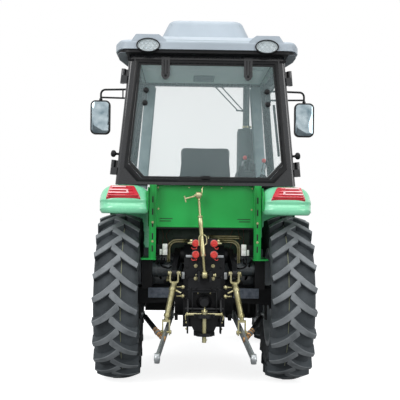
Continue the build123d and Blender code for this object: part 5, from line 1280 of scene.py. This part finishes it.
def running_gear():
    """Step treads, the tank's straps and cap, the battery's lid and cables, front bolts and the wheels' hubs."""
    tread = Batch("step_treads", STEEL, sides=BOTH)
    for top in (345, 575):
        for i in range(7):
            tread.box((512 + 22 * i, 806, top - 1), (519 + 22 * i, 1104, top + 4), 1.2)
        tread.box((661, 800, top - 14), (668, 1110, top + 6), 2)
    tread.done()
    tank = Batch("fuel_tank_straps", BLACK)
    for x in (250, 400):
        outer, inner = rounded(243, 133, 52, 6, 880, 510), rounded(239.5, 129.5, 49, 6, 880, 510)
        tank.ring(outer, inner, "x", x, 30, 0.8)
        tank.box((x + 4, 1119, 480), (x + 26, 1130, 540), 2)
    tank.done()
    cap = Batch("fuel_tank_cap", PLASTIC)
    cap.lathe([(30, -2), (30, 8), (40, 10), (41, 26), (36, 31), (12, 33), (0.2, 33)], (430, 700, 640), UP, 32)
    for i in range(12):
        x, y = 430 + 40.5 * cos(pi * i / 6), 700 + 40.5 * sin(pi * i / 6)
        cap.rod((x, y, 652), (x, y, 664), 3, 8)
    cap.lathe([(14, 0), (14, 6), (8, 9), (0.2, 9)], (345, 880, 380), DOWN, 20)
    cap.done()
    box = Batch("battery_box_lid", PLASTIC)
    box.box((-489, 751, 652), (-187, 1129, 686), 7)
    for i in range(8):
        box.box((-492, 790 + 40 * i, 470), (-484, 796 + 40 * i, 630), 2)
    box.box((-496, 900, 626), (-484, 980, 676), 4)
    box.done()
    cables = Batch("battery_cables", SEAL)
    cables.tube([(-230, 1100, 680), (-226, 1110, 720), (-214, 1180, 760), (-196, 1260, 780)], 8, 10)
    cables.tube([(-260, 1100, 680), (-258, 1130, 730), (-230, 1190, 790), (-196, 1270, 810)], 7, 10)
    cables.done()
    weights = Batch("front_weight_fittings", STEEL)
    for i in range(6):
        x = (i - 2.5) * 84
        weights.tube([(x, 2660, 840), (x, 2680, 856), (x, 2752, 856), (x, 2772, 840)], 8, 12)
    weights.sides = BOTH
    weights.bolt((250, 2700, 680), OUT, 15)
    weights.bolt((245, 2560, 770), OUT, 10)
    for y in (1300, 1480, 1660, 1840, 2200, 2380):
        weights.bolt((244.5, y, 712), OUT, 12)
    weights.done()
    for side, hand in HANDS:
        for end, track, y, z, disc in AXLES:
            hub, reach, look = (66, 300, SILVER) if end == "rear" else (50, 205, CAST)
            disc += track / 2
            hubs = Batch(f"{end}_hub_cover_{hand}", look, f"{end}_wheel_{hand}", slot=None)
            dome = [(hub, -1), (hub, 6), (hub - 6, 10), (hub * 0.62, 20), (hub * 0.58, 27)]
            dome += [(hub * 0.3, 31), (0.2, 31.5)]
            hubs.lathe(dome, (side * (disc + DISC_WALL), y, z), (side, 0, 0), 40)
            hubs.done()
            stem = Batch(f"{end}_valve_{hand}", SEAL, f"{end}_wheel_{hand}")
            valve = [(7, 0), (6, 6), (4.5, 10), (4.5, 30), (5.5, 31), (5.5, 42), (0.2, 43)]
            stem.lathe(valve, (side * (disc + 34), y, z + reach), (side, 0, -0.25), 14)
            stem.done()


def door_details():
    """Each door's rubber seals, laid out on the leaning cab side, and its lock."""
    lean = radians(CAB_LEAN)
    foot, head = (FOOT_Y, FOOT_Z), (HEAD_Y, HEAD_Z)
    corners = [(CAB_REAR_Y, 1476), (CAB_REAR_Y, HEAD_Z), head, foot, (775, FOOT_Z), (775, 1030), (405, 1476)]
    face = [(y, (z - CAB_BASE_Z) / cos(lean)) for y, z in corners]
    rows = (0, -sin(lean), cos(lean), CAB_HALF), (1, 0, 0, 0), (0, cos(lean), sin(lean), CAB_BASE_Z)
    plane = Matrix((*rows, (0, 0, 0, 1)))
    margin = 62 + MOVING_GAP + 44
    for side, hand in HANDS:
        place = Matrix.Diagonal((side, 1, 1, 1)) @ plane
        seal = Batch(f"door_seal_{hand}", SEAL, f"door_{hand}")
        seal.ring(inset_outline(face, margin - 3), inset_outline(face, margin + 9), "z", -12.5, 6, 1.5, place)
        seal.ring(inset_outline(face, margin - 40), inset_outline(face, margin - 33), "z", -1, 2.2, 0.8, place)
        seal.done()
        lock = Batch(f"door_lock_{hand}", CHROME, f"door_{hand}")
        spot = place @ Vector((1010, -385, -1))
        lock.lathe([(13, 0), (13, 3), (10, 5), (10, 7), (3, 7), (0.2, 6)], spot, place.to_3x3() @ Vector(UP), 24)
        lock.done()


def inset_outline(points, margin):
    """The same outline with every side moved inwards."""
    moved, count = [], len(points)
    area = sum(points[i - 1][0] * points[i][1] - points[i][0] * points[i - 1][1] for i in range(count))
    turn = 1 if area > 0 else -1
    for i in range(count):
        before, here, after = Vector(points[i - 1]), Vector(points[i]), Vector(points[(i + 1) % count])
        first, second = (here - before).normalized(), (after - here).normalized()
        one = Vector((-first.y, first.x)) * turn * margin
        two = Vector((-second.y, second.x)) * turn * margin
        cross = first.x * second.y - first.y * second.x
        gap = (here + two) - (here + one)
        share = (gap.x * second.y - gap.y * second.x) / cross
        moved.append(tuple(here + one + first * share))
    return moved


def roof_details():
    """The roof's seams, air intakes and front lamps, laid on its shell."""
    lines = Batch("roof_seams", VENT)
    for x in (-270, 270):
        seam(lines, "roof_shell", [(x, y, 3000) for y in range(130, 900, 24)], DOWN, 2)
    for y in (-300, 980):
        seam(lines, "roof_shell", [(x, y, 3000) for x in range(-560, 561, 24)], DOWN, 2)
    lines.done()
    slots = Batch("roof_intakes", SEAL)
    for side in BOTH:
        for i in range(7):
            starts = [(side * 900, 300 + 60 * i + j * 4, 2660 + j * 8) for j in range(6)]
            seam(slots, "roof_shell", starts, (-side, 0, 0), 5)
    slots.done()
    lamps = Batch("front_work_lamp_bodies", PLASTIC)
    glass = Batch("front_work_lamp_lenses", CUP)
    for side in BOTH:
        x, z = side * 470, 2482
        spot = touch("roof_shell", (x, 2000, z), BACK)
        if spot:
            lamps.lathe([(40, -30), (44, -2), (44, 3), (38, 4), (36, 0)], (x, spot[1], z), AHEAD, 36)
            bowl = [(37, 2), (34, 0.5), (20, -6), (6, -8), (5, -2), (0.2, -1)]
            glass.lathe(bowl, (x, spot[1], z), AHEAD, 36)
    lamps.done()
    glass.done()


# Camera, from the horizon, the vanishing point and the scale at the rear axle
PHOTO_SIZE = 400
FOCAL_PX = 841.0
HORIZON_PX = 216.0
VANISHING_PX = 183.6
CAMERA_X = -0.16
CAMERA_BACK = 6.54
CAMERA_Z = 1.25
CAMERA_ROLL = 0.7
SENSOR = 36.0


def aim_camera():
    data = bpy.data.cameras.new("camera")
    data.sensor_width = SENSOR
    data.lens = FOCAL_PX * SENSOR / PHOTO_SIZE
    camera = bpy.data.objects.new("camera", data)
    bpy.context.scene.collection.objects.link(camera)
    middle = PHOTO_SIZE / 2
    yaw = atan2(middle - VANISHING_PX, FOCAL_PX)
    pitch = atan2(HORIZON_PX - middle, FOCAL_PX)
    turn = Matrix.Rotation(-yaw, 4, "Z") @ Matrix.Rotation(pi / 2 + pitch, 4, "X")
    turn = turn @ Matrix.Rotation(radians(CAMERA_ROLL), 4, "Z")
    camera.matrix_world = Matrix.Translation((CAMERA_X, REAR_AXLE_Y - CAMERA_BACK, CAMERA_Z)) @ turn
    bpy.context.scene.camera = camera


# Floor, light and backdrop
def studio():
    scene = bpy.context.scene
    scene.view_settings.view_transform = "Standard"
    bpy.ops.mesh.primitive_plane_add(size=240, location=(0, 0, 0))
    floor = bpy.context.object
    floor.name = "floor"
    floor.data.materials.append(floor_material())
    lamp("top_light", (0.0, -1.2, 6.5), (0, 0.2, 1.0), 7.0, 210)
    lamp("key_light", (-4.5, -6.5, 5.0), (0, -0.8, 1.2), 4.0, 230)
    lamp("fill_light", (5.0, -6.0, 3.0), (0, -0.6, 1.2), 4.0, 130)
    backdrop_world()


def add_node(tree, kind, colour=None, strength=None):
    node = tree.nodes.new("ShaderNode" + kind)
    for socket, value in (("Color", colour), ("Strength", strength)):
        if value is not None:
            node.inputs[socket].default_value = value
    return node


def mix_nodes(tree, share, first, second):
    """A mix of two shaders by the share that a socket gives."""
    choose = add_node(tree, "MixShader")
    for source, target in zip((share, first, second), choose.inputs):
        tree.links.new(source, target)
    return choose.outputs["Shader"]


def floor_material():
    """A grey floor that shines on the tractor as grey, and that the camera sees as white with soft shadows."""
    material, shader = new_material("studio_floor")
    tree = material.node_tree
    shader.inputs["Roughness"].default_value = 0.9
    shader.inputs["Specular IOR Level"].default_value = 0.1
    grey = ramp(material, noise(material, 2), [(0.2, (0.36, 0.36, 0.36, 1)), (0.8, (0.4, 0.4, 0.4, 1))])
    tree.links.new(grey, shader.inputs["Base Color"])
    brightener = add_node(tree, "Emission", (1, 1, 1, 1), 0.84)
    catcher = add_node(tree, "BsdfDiffuse", (0.6, 0.6, 0.6, 1))
    seen = add_node(tree, "AddShader")
    tree.links.new(catcher.outputs["BSDF"], seen.inputs[0])
    tree.links.new(brightener.outputs["Emission"], seen.inputs[1])
    path = add_node(tree, "LightPath")
    mixed = mix_nodes(tree, path.outputs["Is Camera Ray"], shader.outputs["BSDF"], seen.outputs["Shader"])
    output = next(node for node in tree.nodes if node.bl_idname == "ShaderNodeOutputMaterial")
    tree.links.new(mixed, output.inputs["Surface"])
    return material


def backdrop_world():
    """A cool dim light all round, shown as plain white to the camera, in mirrors and through glass."""
    world = bpy.data.worlds.new("studio")
    world.use_nodes = True
    bpy.context.scene.world = world
    tree = world.node_tree
    tree.nodes.clear()
    light = add_node(tree, "Background", (0.93, 0.96, 1.0, 1), 0.42)
    shown = add_node(tree, "Background", (1, 1, 1, 1), 1.0)
    path = add_node(tree, "LightPath")
    share = path.outputs["Is Camera Ray"]
    for ray in ("Is Glossy Ray", "Is Transmission Ray"):
        larger = add_node(tree, "Math")
        larger.operation = "MAXIMUM"
        tree.links.new(share, larger.inputs[0])
        tree.links.new(path.outputs[ray], larger.inputs[1])
        share = larger.outputs["Value"]
    output = add_node(tree, "OutputWorld")
    mixed = mix_nodes(tree, share, light.outputs["Background"], shown.outputs["Background"])
    tree.links.new(mixed, output.inputs["Surface"])


def lamp(name, place, aim, size, power):
    data = bpy.data.lights.new(name, "AREA")
    data.shape = "DISK"
    data.size = size
    data.energy = power
    light = bpy.data.objects.new(name, data)
    bpy.context.scene.collection.objects.link(light)
    facing = Vector(aim) - Vector(place)
    turn = facing.to_track_quat("-Z", "Y").to_matrix().to_4x4()
    light.matrix_world = Matrix.Translation(place) @ turn


for draw in (
    tyres, wheel_fittings, roof_trim, window_trim, wiper, tail_lamp_trim, fender_shells, panel_details,
    under_cab, hydraulics, top_link_detail, lift_detail, link_arms, cab_outside, cab_inside,
    hood_details, engine_details, exhaust_details, running_gear, door_details, roof_details,
    aim_camera, studio,
):
    draw()
